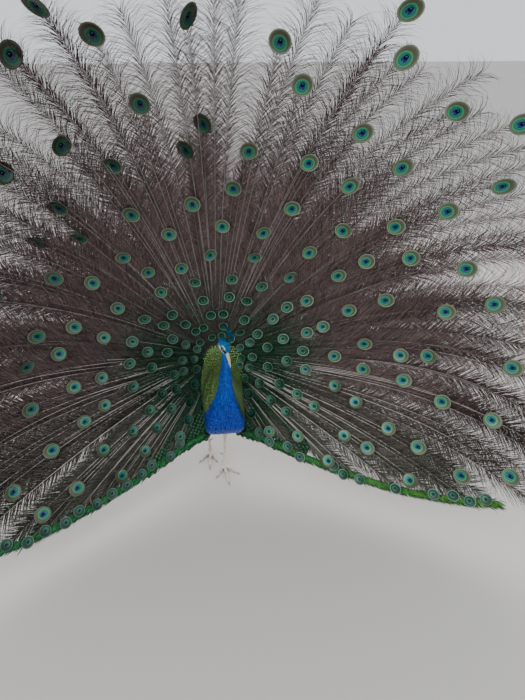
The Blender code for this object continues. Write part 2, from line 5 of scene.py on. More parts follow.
import bmesh
import bpy
import numpy as np
from bpy.props import FloatProperty, FloatVectorProperty, IntProperty, PointerProperty
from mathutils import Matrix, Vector


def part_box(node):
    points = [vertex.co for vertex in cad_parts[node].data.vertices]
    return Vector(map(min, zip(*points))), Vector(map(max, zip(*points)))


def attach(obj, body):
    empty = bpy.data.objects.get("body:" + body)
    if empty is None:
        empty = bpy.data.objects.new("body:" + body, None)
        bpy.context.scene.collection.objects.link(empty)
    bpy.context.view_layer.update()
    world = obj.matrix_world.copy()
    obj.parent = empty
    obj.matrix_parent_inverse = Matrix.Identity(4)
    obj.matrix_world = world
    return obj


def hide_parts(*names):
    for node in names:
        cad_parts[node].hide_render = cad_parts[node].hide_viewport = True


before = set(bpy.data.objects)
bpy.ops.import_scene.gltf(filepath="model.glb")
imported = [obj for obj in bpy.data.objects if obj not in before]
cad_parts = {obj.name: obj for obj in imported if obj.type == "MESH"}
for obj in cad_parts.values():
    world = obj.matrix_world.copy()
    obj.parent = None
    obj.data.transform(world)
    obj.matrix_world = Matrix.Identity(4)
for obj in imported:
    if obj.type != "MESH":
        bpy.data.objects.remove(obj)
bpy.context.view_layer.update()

bl_info = {
    "name": "Displaying peacock",
    "version": (1, 0, 0),
    "blender": (4, 5, 0),
    "location": "View3D > Sidebar > Peacock",
    "description": "Builds a peacock's skin, plumage and a plain studio",
    "category": "Object",
}

NODES = sorted(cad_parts)
TRAIN_NODES = [n for n in NODES if n.startswith("train_")]
CLAW_NODES = [n for n in NODES if n.startswith(("claw_", "spur_"))]
FLESH_NODES = ["head", "neck_upper", "neck_lower", "breast", "trunk", "rump"]
FLESH_NODES += [f"{part}_{side}" for part in ("thigh", "shank", "foot") for side in ("left", "right")]
SIDES = ((1, "left"), (-1, "right"))
TURN = 2 * math.pi

# ---------------------------------------------------------------- the bird's own shape, in metres

# The head's centre, how it is pitched, turned and rolled, and its half length, width and height
HEAD_CENTRE = np.array((0.0135, -0.211, 0.694))
FACE_PITCH, FACE_TURN, FACE_ROLL = (math.radians(x) for x in (42, 17, 15))
HEAD_HALF = (0.0305, 0.0210, 0.0222)
MARK_SCALE = 1.15
EYE_PLACE = (0.0083, 0.0136, 0.0040)
EYE_RADIUS = 0.0060
BILL_LENGTH = 0.052
BILL_INSET = 0.003

# The train's root, its length at the sides and what the top adds, and how far it leans forward
ROOT = np.array((0.0, 0.12, 0.47))
TRAIN_SIDE = 1.32
TRAIN_TOP_EXTRA = 0.13
TRAIN_CURVE_LENGTH = 1.4
LEAN_TOP, LEAN_LOW, CURL = (math.radians(x) for x in (24, 48, 12))
# The lower edge's height, its rise in the middle and at the ends, and its tilt to one side
RIM_HEIGHT = 0.1155
RIM_RISE = 0.088
RIM_RISE_WIDTH = 0.28
RIM_END_START = 0.55
RIM_END_RISE = 0.56
RIM_TILT = 0.009
# No feather within this angle of the top can meet the lower edge
FREE_ANGLE = math.radians(80)

# Distances of the rings of eye spots from the root and how far round they go, the gap of the spots on
# the rim, and how many long fishtails there are and how far round they go
EYE_RINGS = (0.115, 0.165, 0.225, 0.300, 0.385, 0.490, 0.610, 0.745, 0.895, 1.060, 1.220, 1.330)
RING_LIMIT = math.radians(156)
RIM_EYE_GAP = 0.066
FISHTAILS = 48
FISHTAIL_SPREAD = math.radians(102)
# Kinds of train feather: with an eye spot, a long fishtail, and a short one with its spot at the rim
EYED, FISHTAIL, RIM_EYED = range(3)
# Gaps between barbs at distances from the root, as multiples of the barb spacing: low and high up
BARB_GAPS = ((0.28, 0.32, 0.60, 0.90), (1.40, 0.90, 0.86, 0.72))
BARB_GAPS_UP = ((0.28, 0.32, 0.50, 0.80, 1.05), (1.4, 0.92, 0.74, 0.80, 1.12))
BARB_PIECES = 6
HAIR_PIECES = 2

# The drooped left wing's wrist and tip, and its half width and half thickness
WING_WRIST = np.array((0.058, 0.085, 0.425))
WING_TIP = np.array((0.150, 0.345, 0.150))
WING_CHORD = 0.070
WING_THICK = 0.0075

# How far round the quills behind the train go, and how long they are
TAIL_SPREAD = math.radians(80)
TAIL_LENGTH = 0.43
# The scales behind the neck stop at this angle from the top
CAPE_LIMIT = math.radians(168)

FLOOR_HALF = 40.0
FLOOR_DROP = 0.0002
CAMERA_PLACE = np.array((-0.0865, -1.877, 1.64))
CAMERA_PITCH = 30.0
CAMERA_YAW = 8.0
CAMERA_LENS = 28.08

# Ventral y and z, dorsal y and z, half width, sideways shift and how square the ventral half is
STATIONS = np.array((
    (-0.214, 0.682, -0.180, 0.700, 0.0142, 0.0170, 2.0),
    (-0.211, 0.655, -0.170, 0.669, 0.0144, 0.0170, 2.0),
    (-0.210, 0.620, -0.164, 0.634, 0.0153, 0.0170, 2.0),
    (-0.213, 0.582, -0.156, 0.600, 0.0172, 0.0160, 2.0),
    (-0.219, 0.544, -0.145, 0.570, 0.0213, 0.0145, 2.1),
    (-0.228, 0.506, -0.128, 0.545, 0.0279, 0.0125, 2.6),
    (-0.238, 0.462, -0.105, 0.524, 0.0386, 0.0105, 3.2),
    (-0.244, 0.408, -0.077, 0.509, 0.0560, 0.0070, 4.5),
    (-0.240, 0.349, -0.044, 0.499, 0.0736, 0.0040, 6.0),
    (-0.205, 0.303, -0.008, 0.495, 0.0795, 0.0050, 6.0),
    (-0.150, 0.284, 0.028, 0.494, 0.0818, 0.0080, 4.0),
    (-0.082, 0.281, 0.060, 0.495, 0.0833, 0.0080, 2.6),
    (-0.006, 0.292, 0.091, 0.497, 0.0823, 0.0060, 2.3),
    (0.064, 0.322, 0.121, 0.498, 0.0763, 0.0040, 2.0),
    (0.119, 0.364, 0.149, 0.496, 0.0640, 0.0020, 2.0),
    (0.160, 0.407, 0.174, 0.490, 0.0430, 0.0000, 2.0),
    (0.186, 0.446, 0.193, 0.480, 0.0180, 0.0000, 2.0),
))
LAST_STATION = len(STATIONS) - 1
# How far round the body the blue reaches, as the sine of the turn, at stations along it
BLUE_STATIONS = (4.0, 4.3, 4.6, 5.6, 6.65, 7.4, 7.9, 8.6, 9.4, 10.2, 10.8)
BLUE_HEIGHTS = (1.3, 0.10, -0.32, -0.44, -0.48, -0.52, -0.45, -0.30, -0.45, -0.75, -1.3)

# Outlines of feathers in their own plane, x across and y from root to tip, as shares of half their
# width and of their length: broad scales, and narrow hackles and down
BROAD = np.array((
    (0.0, 0.0), (0.55, 0.22), (0.98, 0.55), (0.80, 0.85),
    (0.0, 1.0), (-0.80, 0.85), (-0.98, 0.55), (-0.55, 0.22),
))
NARROW = np.array((
    (0.0, 0.0), (0.45, 0.25), (0.70, 0.55), (0.45, 0.85),
    (0.0, 1.0), (-0.45, 0.85), (-0.70, 0.55), (-0.45, 0.25),
))
# Where a feather's middle lies along it, how wide a feather's patch is on the bake map, and how many
# metres of the dish laid flat the map is wide
FEATHER_MIDDLE = 0.55
PATCH = 0.003
BAKE_WIDTH = 3.1


def unit(v):
    """v with every last-axis row made one long."""
    return v / np.maximum(np.linalg.norm(v, axis=-1, keepdims=True), 1e-9)


def dot(a, b):
    """The product of matching rows, kept as a column."""
    return np.sum(a * b, axis=-1, keepdims=True)


def pairs(a, b):
    """Rows of matching values of a and b, either of which may be one number."""
    return np.stack(np.broadcast_arrays(a, b), -1)


def lattice(first, second):
    """Every pair of two rows of values, as two arrays on a grid."""
    return np.meshgrid(first, second, indexing="ij")


def ring_turns(count):
    """The angles of count places evenly round."""
    return np.arange(count) / count * TURN


def face_axes():
    """Unit vectors of the head: forwards along the bill, to the bird's left, and up."""
    forward = np.array((
        math.sin(FACE_TURN) * math.cos(FACE_PITCH),
        -math.cos(FACE_TURN) * math.cos(FACE_PITCH),
        -math.sin(FACE_PITCH),
    ))
    left = np.array((math.cos(FACE_TURN), math.sin(FACE_TURN), 0.0))
    up = -np.cross(left, forward)
    c, s = math.cos(FACE_ROLL), math.sin(FACE_ROLL)
    return forward, left * c - up * s, up * c + left * s


FORWARD, LEFT, UP = face_axes()


def in_head(centre, ahead, left, up):
    """Points given in the head's own directions from a centre."""
    ways = ((ahead, FORWARD), (left, LEFT), (up, UP))
    for distance, way in ways:
        centre = centre + np.multiply.outer(distance, way)
    return centre


def frame_shift():
    """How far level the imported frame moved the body: the left eye's place less its planned one."""
    low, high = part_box("eye_left")
    return ((np.array(low) + np.array(high)) / 2 - in_head(HEAD_CENTRE, *EYE_PLACE)) * (1, 1, 0)


SHIFT = frame_shift()


def smooth_rows(table, at):
    """Catmull-Rom interpolation of a table's rows at fractional row numbers."""
    at = np.clip(np.asarray(at, float), 0, len(table) - 1)
    i = np.minimum(at.astype(int), len(table) - 2)
    t = (at - i)[..., None]
    p0, p1 = table[np.maximum(i - 1, 0)], table[i]
    p2, p3 = table[i + 1], table[np.minimum(i + 2, len(table) - 1)]
    return 0.5 * (
        2 * p1
        + (p2 - p0) * t
        + (2 * p0 - 5 * p1 + 4 * p2 - p3) * t**2
        + (3 * p1 - p0 - 3 * p2 + p3) * t**3
    )


def body_point(u, v):
    """The body's surface at station u and turn v, in radians from the bird's left round over the back.

    The ring lies in the plane through the ventral and dorsal points and the sideways axis. Its dorsal
    half is an ellipse and its ventral half a superellipse of the station's own power."""
    row = smooth_rows(STATIONS, u)
    zero = np.zeros_like(row[..., 0])
    low = np.stack((zero, row[..., 0], row[..., 1]), -1)
    high = np.stack((zero, row[..., 2], row[..., 3]), -1)
    centre = (low + high) / 2 + np.stack((row[..., 5], zero, zero), -1)
    c, s = np.cos(v), np.sin(v)
    power = np.where(s < 0, row[..., 6], 2.0)
    reach = (np.abs(c) ** power + np.abs(s) ** power) ** (-1 / power)
    wide, tall = c * reach * row[..., 4], s * reach
    return centre + np.stack((wide, zero, zero), -1) + (high - low) / 2 * tall[..., None] + SHIFT


def body_frame(u, v):
    """Point, tailward tangent, sideways tangent and outward normal of the body's surface."""
    step = 0.01
    point = body_point(u, v)
    along = body_point(np.minimum(u + step, LAST_STATION), v) - body_point(np.maximum(u - step, 0), v)
    around = body_point(u, v + step) - body_point(u, v - step)
    normal = unit(np.cross(around, along))
    inside = body_point(u, v + math.pi) - point
    normal = normal * -np.sign(dot(normal, inside))
    along = unit(along - normal * dot(along, normal))
    return point, along, np.cross(normal, along), normal


def dish(angle, length):
    """Point and axes of the train's dish at an angle from straight up and a length from the root.

    A feather leans forward by an angle that grows evenly along it, so its path is an arc. The axes are
    outwards along the feather, sideways, and the normal towards the hollow front."""
    angle, length = np.broadcast_arrays(np.asarray(angle, float), np.asarray(length, float))
    lean = LEAN_TOP + (LEAN_LOW - LEAN_TOP) * (1 - np.cos(angle)) / 2 - CURL
    bend = 2 * CURL / TRAIN_CURVE_LENGTH
    now = lean + bend * length
    out = (np.sin(now) - np.sin(lean)) / bend
    ahead = (np.cos(lean) - np.cos(now)) / bend
    s, c = np.sin(angle), np.cos(angle)
    point = ROOT + SHIFT + np.stack((s * out, -ahead, c * out), -1)
    along = np.stack((s * np.cos(now), -np.sin(now), c * np.cos(now)), -1)
    aside = np.stack((c, np.zeros_like(c), -s), -1)
    normal = np.stack((-s * np.sin(now), -np.cos(now), -c * np.sin(now)), -1)
    return point, along, aside, normal


def full_reach(angle):
    """The train's whole length at an angle, longest at the top."""
    return TRAIN_SIDE + TRAIN_TOP_EXTRA * np.cos(angle / 2) ** 2


def rim_height(x):
    """How high the train's lower edge hangs, at a distance from the middle plane."""
    middle = RIM_RISE * np.exp(-((x / RIM_RISE_WIDTH) ** 2))
    ends = RIM_END_RISE * np.maximum(np.abs(x) - RIM_END_START, 0) ** 2
    return RIM_HEIGHT + middle + ends + RIM_TILT * x


def above_edge(point):
    """How far a point lies above the train's lower edge."""
    return point[..., 2] - rim_height(point[..., 0] - SHIFT[0])


def train_reach(angle):
    """The train's length at an angle: its whole length, or less where a feather meets the lower edge.

    The meeting place is found by halving the span it lies in."""
    full = full_reach(angle)
    low, high = np.full_like(angle, 0.05), full.copy()
    for _ in range(24):
        middle = (low + high) / 2
        above = above_edge(dish(angle, middle)[0]) > 0
        low, high = np.where(above, middle, low), np.where(above, high, middle)
    free = (np.abs(angle) < FREE_ANGLE) | (above_edge(dish(angle, full)[0]) >= 0)
    return np.where(free, full, low)


# ---------------------------------------------------------------- meshes from arrays


def write_attribute(mesh, name, values):
    """A point attribute from an array: a colour from RGB rows, or else one value a point."""
    values = np.asarray(values, np.float32)
    if values.ndim == 2:
        rgba = np.ones((len(values), 4), np.float32)
        rgba[:, :3] = values
        mesh.attributes.new(name, "FLOAT_COLOR", "POINT").data.foreach_set("color", rgba.ravel())
    else:
        mesh.attributes.new(name, "FLOAT", "POINT").data.foreach_set("value", values)


def read_triples(rows, name, kind=np.float32):
    """A property of three numbers of each of a mesh's points or triangles, as rows."""
    held = np.empty(len(rows) * 3, kind)
    rows.foreach_get(name, held)
    return held.reshape(-1, 3)


def make_mesh(name, verts, faces, bake_uv=None, **attributes):
    """An object from an array of points and a list of face arrays, each with its own corner count.

    bake_uv is one UV pair a point, and attributes are named arrays for write_attribute."""
    mesh = bpy.data.meshes.new(name)
    mesh.vertices.add(len(verts))
    mesh.vertices.foreach_set("co", np.asarray(verts, np.float32).ravel())
    loops = np.concatenate([f.ravel() for f in faces]).astype(np.int32)
    corners = np.concatenate([np.full(len(f), f.shape[1]) for f in faces])
    mesh.loops.add(len(loops))
    mesh.loops.foreach_set("vertex_index", loops)
    mesh.polygons.add(len(corners))
    starts = np.concatenate(([0], np.cumsum(corners)[:-1])).astype(np.int32)
    mesh.polygons.foreach_set("loop_start", starts)
    mesh.polygons.foreach_set("use_smooth", np.ones(len(corners), bool))
    mesh.update(calc_edges=True)
    for key, values in attributes.items():
        write_attribute(mesh, key, values)
    if bake_uv is not None:
        layer = mesh.uv_layers.new(name="OFBake")
        layer.data.foreach_set("uv", np.asarray(bake_uv, np.float32)[loops].ravel())
    obj = bpy.data.objects.new(name, mesh)
    bpy.context.scene.collection.objects.link(obj)
    return obj


def finish_piece(obj, finish, nodes=()):
    """Gives a piece its material, its body and the frame's nodes that it stands for."""
    obj.data.materials.append(finish)
    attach(obj, "root")
    if nodes:
        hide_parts(*nodes)


def repeat_faces(faces, count, size):
    """The same faces for each of count copies whose points follow each other, size points a copy."""
    starts = (np.arange(count) * size)[:, None, None]
    return (faces[None] + starts).reshape(-1, faces.shape[1])


def grid_faces(rows, columns, closed=True):
    """Quads of a grid of points, row by row, joined round from last column to first if closed."""
    i, j = lattice(np.arange(rows - 1), np.arange(columns if closed else columns - 1))
    here, beside = i * columns + j, i * columns + (j + 1) % columns
    return np.stack((here, beside, beside + columns, here + columns), -1).reshape(-1, 4)


def fan_faces(first, count, hub):
    """Triangles from each side of a closed ring of count points, from first on, to a hub point."""
    k = np.arange(count)
    return np.stack((first + k, first + (k + 1) % count, np.full(count, hub)), -1)


def turn_out(points, faces, centre=0.0, size=None):
    """Turns all faces round if a closed mesh, or its first copy of size points, is inside out.

    It is where the signed volume of the cones from the centre to its faces adds up to less than 0."""
    volume = 0.0
    for rows in faces:
        part = rows if size is None else rows[rows.max(1) < size]
        for k in range(1, part.shape[1] - 1):
            a, b, c = (points[part[:, n]] - centre for n in (0, k, k + 1))
            volume += float(np.sum(a * np.cross(b, c)))
    return [rows[:, ::-1] for rows in faces] if volume < 0 else faces


def tube_faces(rings, sides):
    """Faces of a tube of rings, its first end a flat cap and its last end closed on one tip point."""
    cap = np.stack((np.zeros(sides - 2, int), np.arange(2, sides), np.arange(1, sides - 1)), -1)
    return grid_faces(rings, sides), fan_faces((rings - 1) * sides, sides, rings * sides), cap


def tapered_tubes(path, side, normal, half_width, half_thick, sides=3):
    """Points, faces and points a copy of closed tapered tubes. path is (count, points, 3), and side
    and normal are unit vectors of that shape or (count, 1, 3). Every point but the last carries a
    ring, an ellipse of the two halves across and along the normal, and the last is the tip."""
    count, points = path.shape[:2]
    rings = points - 1
    turn = ring_turns(sides) + math.pi / 2
    across = np.cos(turn)[None, None, :, None] * half_width[:, :rings, None, None]
    raised = np.sin(turn)[None, None, :, None] * half_thick[:, :rings, None, None]
    side = np.broadcast_to(side, path.shape)[:, :rings, None]
    normal = np.broadcast_to(normal, path.shape)[:, :rings, None]
    body = path[:, :rings, None] + side * across + normal * raised
    verts = np.concatenate((body.reshape(count, rings * sides, 3), path[:, -1:]), 1)
    size = rings * sides + 1
    faces = [repeat_faces(f, count, size) for f in tube_faces(rings, sides)]
    return verts.reshape(-1, 3), faces, size


def patch_uv(place, local):
    """UV pairs for copies: each copy is a patch at its place, its points laid out in it."""
    return (place[:, None] + (local[None] - 0.5) * PATCH).reshape(-1, 2)


def tube_local(points, sides):
    """Where a tapered tube's points lie in its patch: along it, and round it."""
    ring, around = lattice(np.arange(points - 1) / (points - 1), np.arange(sides) / sides)
    return np.concatenate((pairs(around, ring).reshape(-1, 2), ((0.5, 1.0),)))


def lay_tubes(name, path, side, normal, half_width, half_thick, tint, place, finish, nodes=(), sides=3):
    """One piece of tapered tubes, tinted by one RGB row a tube or a point."""
    verts, faces, size = tapered_tubes(path, side, normal, half_width, half_thick, sides)
    if len(tint) < len(verts):
        tint = np.repeat(tint, size, 0)
    bake = patch_uv(place, tube_local(path.shape[1], sides))
    obj = make_mesh(name, verts, turn_out(verts, faces, verts.mean(0)), bake, Tint=tint)
    finish_piece(obj, finish, nodes)


def scale_feathers(root, along, side, length, width, cup, thick, outline):
    """Closed, cupped little feathers: an outline, a raised middle on top and a middle underneath.

    A point at (x, y) of the outline lies at root + along·y·length + side·x·width/2 and drops towards
    the skin by cup·x², so that the feather is rounded across and its sides tuck under."""
    normal = np.cross(along, side)
    rim = len(outline)
    x, y = outline[:, 0], outline[:, 1]
    edge = (
        root[:, None]
        + along[:, None] * (y[None, :, None] * length[:, None, None])
        + side[:, None] * (x[None, :, None] * width[:, None, None] / 2)
        - normal[:, None] * ((x**2)[None, :, None] * cup[:, None, None])
    )
    middle = root + along * (FEATHER_MIDDLE * length)[:, None]
    top = middle + normal * (thick + cup * 0.15)[:, None]
    under = middle - normal * (cup * 0.25)[:, None]
    verts = np.concatenate((edge, top[:, None], under[:, None]), 1).reshape(-1, 3)
    template = np.concatenate((fan_faces(0, rim, rim), fan_faces(0, rim, rim + 1)[:, (1, 0, 2)]))
    faces = [repeat_faces(template, len(root), rim + 2)]
    return verts, turn_out(verts, faces, size=rim + 2), rim + 2


def ruffle(rng, along, side, normal, rise, sway):
    """Which way feathers lie and their widths' direction: along the skin, lifted by rise and turned
    aside at random by sway."""
    lie = unit(along + normal * rise + side * rng.normal(0, sway, len(along))[:, None])
    return lie, unit(np.cross(normal, lie))


def lay_scales(name, root, lie, across, length, width, cup, tint, place, finish, slot,
               outline=BROAD, thick=0.05, **attributes):
    """One piece of scale feathers, tinted by one RGB row a feather or a point; cup and thick are
    shares of the width."""
    verts, faces, size = scale_feathers(root, lie, across, length, width, width * cup, width * thick, outline)
    if tint.ndim == 2:
        tint = np.repeat(tint, size, 0)
    local = np.concatenate((outline / 2 + (0.5, 0), ((0.5, 0.55), (0.5, 0.45))))
    obj = make_mesh(name, verts, faces, patch_uv(place, local), Tint=tint.reshape(-1, 3), **attributes)
    finish_piece(obj, finish)


# ---------------------------------------------------------------- shader expressions


class Expression:
    """A socket that maths on it adds nodes to."""

    def __init__(self, tree, socket):
        self.tree = tree
        self.socket = socket

    def node(self, kind, output=0, settings=None, **inputs):
        """Any other node: its type, an output's name or number, its settings and its inputs by name."""
        made = self.tree.nodes.new(kind)
        for key, value in (settings or {}).items():
            if key == "stops":
                set_stops(made.color_ramp, value)
            else:
                setattr(made, key, value)
        for key, value in inputs.items():
            place = int(key[1:]) if key[0] == "i" and key[1:].isdigit() else key.replace("_", " ")
            connect(self.tree, value, made.inputs[place])
        return Expression(self.tree, made.outputs[output])

    def math(self, operation, *values):
        """A Math node of that operation on the values."""
        made = self.node("ShaderNodeMath", 0, {"operation": operation})
        for n, value in enumerate(values):
            connect(self.tree, value, made.socket.node.inputs[n])
        return made

    def __add__(self, other):
        return self.math("ADD", self, other)

    def __radd__(self, other):
        return self.math("ADD", other, self)

    def __sub__(self, other):
        return self.math("SUBTRACT", self, other)

    def __rsub__(self, other):
        return self.math("SUBTRACT", other, self)

    def __mul__(self, other):
        return self.math("MULTIPLY", self, other)

    def __rmul__(self, other):
        return self.math("MULTIPLY", other, self)

    def __pow__(self, other):
        return self.math("POWER", self, other)

    def step(self, low, high):
        """0 below low, 1 above high and smooth between."""
        settings = {"interpolation_type": "SMOOTHSTEP"}
        return self.node("ShaderNodeMapRange", 0, settings, Value=self, From_Min=low, From_Max=high)

    def mix(self, a, b):
        """Colour a where this is 0 and b where it is 1."""
        return self.node("ShaderNodeMix", 2, {"data_type": "RGBA"}, i0=self, i6=a, i7=b)

    def times(self, colour):
        """This colour multiplied by another."""
        settings = {"data_type": "RGBA", "blend_type": "MULTIPLY"}
        return self.node("ShaderNodeMix", 2, settings, i0=1.0, i6=self, i7=colour)

    def grey(self):
        """The grey of this value."""
        return self.node("ShaderNodeCombineColor", 0, None, Red=self, Green=self, Blue=self)

    def stops(self, *stops):
        """The colour that a ramp of stops, each a place and an RGB colour, gives this value."""
        return self.node("ShaderNodeValToRGB", 0, {"stops": stops}, Fac=self)


def set_stops(ramp, stops):
    """A colour ramp's stops, each a place and an RGB colour."""
    while len(ramp.elements) > 1:
        ramp.elements.remove(ramp.elements[-1])
    ramp.elements[0].position = stops[0][0]
    ramp.elements[0].color = (*stops[0][1], 1)
    for place, colour in stops[1:]:
        ramp.elements.new(place).color = (*colour, 1)


def connect(tree, value, socket):
    """Links an expression to a socket, or sets a plain value on it."""
    if isinstance(value, Expression):
        tree.links.new(value.socket, socket)
    elif isinstance(value, (tuple, list)) and len(value) == 3 and socket.type == "RGBA":
        socket.default_value = (*value, 1)
    else:
        socket.default_value = value


def new_finish(name, roughness=0.5, specular=0.4, **sockets):
    """A material of that name with its shader's plain values set; returns it and an empty expression."""
    made = bpy.data.materials.new(name)
    made.use_nodes = True
    shader = made.node_tree.nodes["Principled BSDF"]
    shader.inputs["Roughness"].default_value = roughness
    shader.inputs["Specular IOR Level"].default_value = specular
    for key, value in sockets.items():
        shader.inputs[key.replace("_", " ")].default_value = value
    return made, Expression(made.node_tree, None)


def paint(made, colour, height=None, strength=0.0, distance=0.0):
    """Gives a material's shader its colour and, where there is one, a height as a bump."""
    shader = made.node_tree.nodes["Principled BSDF"]
    connect(made.node_tree, colour, shader.inputs["Base Color"])
    if height:
        raised = height.node("ShaderNodeBump", 0, None, Height=height, Strength=strength, Distance=distance)
        connect(made.node_tree, raised, shader.inputs["Normal"])
    return made


def attribute(tools, name, output="Fac"):
    """A point attribute of the piece, as a value or as a Color."""
    return tools.node("ShaderNodeAttribute", output, {"attribute_name": name})


def noise(tools, scale, detail=3.0):
    """Noise on Object coordinates."""
    place = tools.node("ShaderNodeTexCoord", "Object")
    return tools.node("ShaderNodeTexNoise", 0, None, Vector=place, Scale=scale, Detail=detail)


def feather_finish(name, roughness=0.5, metallic=0.0, specular=0.4, vary=0.25, bump=0.15):
    """Feathers: the Tint attribute, made lighter and darker by noise, with a fine grain of barbs."""
    made, tools = new_finish(name, roughness, specular, Metallic=metallic)
    tint = attribute(tools, "Tint", "Color")
    colour = noise(tools, 160.0).step(0.3, 0.7).mix(tint.times((1 - vary,) * 3), tint.times((1 + vary,) * 3))
    return paint(made, colour, noise(tools, 900.0, 2.0) if bump else None, bump, 0.001)


def horn_finish(name, roughness, grain, dark, pale):
    """Horn whose grain goes from one share of its colour to another."""
    made, tools = new_finish(name, roughness, 0.45)
    return paint(made, noise(tools, grain).mix(tuple(rgb("horn") * dark), tuple(rgb("horn") * pale)))


# ---------------------------------------------------------------- settings a user would change


class PeacockSizes(bpy.types.PropertyGroup):
    """Lengths and counts of the plumage."""

    def length(label, words, value):
        return FloatProperty(name=label, description=words, default=value, unit="LENGTH")

    coat_depth: length("Coat depth", "How far the skin lies inside the plumage", 0.0032)
    skin_voxel: length("Skin voxel", "Cell of the remesh that joins the flesh", 0.0026)
    barb_spacing: length("Barb spacing", "Along a train feather", 0.0036)
    barb_length: length("Barb length", "Longest loose barb of a train feather", 0.100)
    shaft_radius: length("Shaft radius", "Train shaft at its root", 0.0018)
    eye_width: length("Eye spot width", "Across the eye of a long train feather", 0.0585)
    ring_feathers: IntProperty(name="Feathers a ring", description="Eyed feathers in a full row", default=19)
    del length


class PeacockColours(bpy.types.PropertyGroup):
    """Colours of the plumage and bare parts."""

    def colour(label, words, value):
        return FloatVectorProperty(name=label, description=words, default=value, subtype="COLOR", size=3)

    neck: colour("Neck", "Cobalt neck and breast", (0.003, 0.115, 0.64))
    breast: colour("Breast", "Deeper blue of the breast", (0.003, 0.066, 0.52))
    neck_low: colour("Breast shade", "Navy low on the breast", (0.004, 0.022, 0.21))
    head: colour("Head", "Turquoise head", (0.008, 0.25, 0.62))
    mantle: colour("Mantle", "Golden green scales", (0.18, 0.30, 0.095))
    mantle_edge: colour("Mantle edge", "Dark edges of the scales", (0.006, 0.020, 0.006))
    belly: colour("Belly", "Blackish green underside", (0.012, 0.022, 0.016))
    thigh: colour("Thigh", "Buff thighs", (0.32, 0.24, 0.15))
    down: colour("Down", "Grey brown down under the tail", (0.10, 0.080, 0.065))
    shaft: colour("Shaft", "Off-white train shafts", (0.80, 0.74, 0.70))
    barb: colour("Barb", "Purplish brown loose barbs", (0.150, 0.107, 0.101))
    # Far barb: a darker, redder brown for the long tips; its darkness is painted shade of the backlit top of
    # the fan
    barb_far_shaded: colour("Far barb", "Reddish brown barbs of the long tips", (0.050, 0.026, 0.023))
    barb_green: colour("Barb green", "Green barbs near the body and the eyes", (0.020, 0.085, 0.042))
    rim: colour("Rim", "Bright green vanes of the lower edge", (0.020, 0.23, 0.075))
    leg: colour("Leg", "Bare scaly legs", (0.84, 0.76, 0.63))
    horn: colour("Horn", "Bill, claws and spurs", (0.50, 0.46, 0.39))
    primary: colour("Primary", "Chestnut wing quills", (0.22, 0.085, 0.032))
    covert: colour("Covert", "Buff of the barred wing coverts", (0.42, 0.34, 0.22))
    covert_bar: colour("Covert bar", "Black bars of the wing coverts", (0.018, 0.015, 0.012))
    rectrix: colour("Tail", "Brown tail quills", (0.115, 0.075, 0.045))
    del colour


def sizes():
    """The sizes as the user has set them."""
    return bpy.context.scene.peacock_sizes


def rgb(name):
    """A colour as the user has set it."""
    return np.array(getattr(bpy.context.scene.peacock_colours, name)[:])


def blend_rgb(a, b, share):
    """Colour rows going from a at share 0 to b at share 1."""
    share = np.clip(np.asarray(share, float), 0, 1)[..., None]
    return a * (1 - share) + b * share


def ramp(x, low, high):
    """Smooth step from 0 at low to 1 at high."""
    t = np.clip((np.asarray(x, float) - low) / (high - low), 0, 1)
    return t * t * (3 - 2 * t)


# ---------------------------------------------------------------- markings, shared by skin and coat


def body_colour(u, v):
    """Plumage colour at a station and turn of the body.

    The neck is blue all round and the breast is blue in front. Golden green scales lie over the back
    from the base of the neck, the underside is blackish, and the rump's underside is brown down."""
    height = np.sin(v)
    front = np.interp(u, BLUE_STATIONS, BLUE_HEIGHTS) - 0.10 * np.cos(v)
    blue = ramp(front - height, -0.07, 0.07)
    colour = blend_rgb(rgb("mantle"), rgb("belly"), ramp(-height, 0.25, 0.65))
    colour = blend_rgb(colour, rgb("down"), ramp(u, 12.4, 13.6) * ramp(-height, -0.25, 0.15))
    navy = ramp(-height, 0.72, 0.97) * ramp(u, 8.2, 9.6)
    neck = blend_rgb(rgb("neck"), rgb("breast"), ramp(u, 4.5, 7.5))
    neck = blend_rgb(neck, rgb("neck_low"), navy)
    neck = blend_rgb(rgb("head"), neck, ramp(u, 0.0, 2.6))
    return blend_rgb(colour, neck, blue)


def is_scaled(u, v):
    """1 on the back's golden scales and 0 elsewhere, from how green the plumage is beside its blue."""
    colour = body_colour(u, v)
    return np.clip(colour[:, 1] / (colour[:, 2] + 0.02) / 4, 0, 1)


def coat_depth(u):
    """How far the skin lies inside the plumage at a station, least on the neck."""
    return sizes().coat_depth * np.interp(u, (0, 2, 6, LAST_STATION), (0.35, 0.55, 1.0, 1.0))


def head_local(points):
    """A point's place ahead, to the left and up of the head's centre, in metres."""
    rel = points - HEAD_CENTRE - SHIFT
    return rel @ FORWARD, rel @ LEFT, rel @ UP


def head_colour(points):
    """Turquoise crown and cheeks, bare white skin over and under the eye, and a black line through it."""
    ahead, left, up = (x / MARK_SCALE for x in head_local(points))
    side = np.abs(left)
    colour = blend_rgb(rgb("head"), rgb("head") * 0.45, ramp(up, 0.004, 0.017) * 0.35)
    white, black = np.array((0.62, 0.64, 0.60)), np.array((0.008, 0.010, 0.014))
    under = ramp(-up, -0.0035, -0.0005) * ramp(up, -0.0125, -0.0085) * ramp(ahead, -0.011, -0.004)
    over = ramp(up, 0.0065, 0.0085) * ramp(-up, -0.0135, -0.0115) * ramp(ahead, -0.001, 0.005)
    colour = blend_rgb(colour, white, np.clip(under + over, 0, 1) * ramp(side, 0.006, 0.010))
    line = ramp(ahead, 0.008, 0.012) * ramp(np.abs(up - 0.003), 0.0042, 0.0024)
    return blend_rgb(colour, black, line * ramp(side, 0.003, 0.006))


# ---------------------------------------------------------------- skin


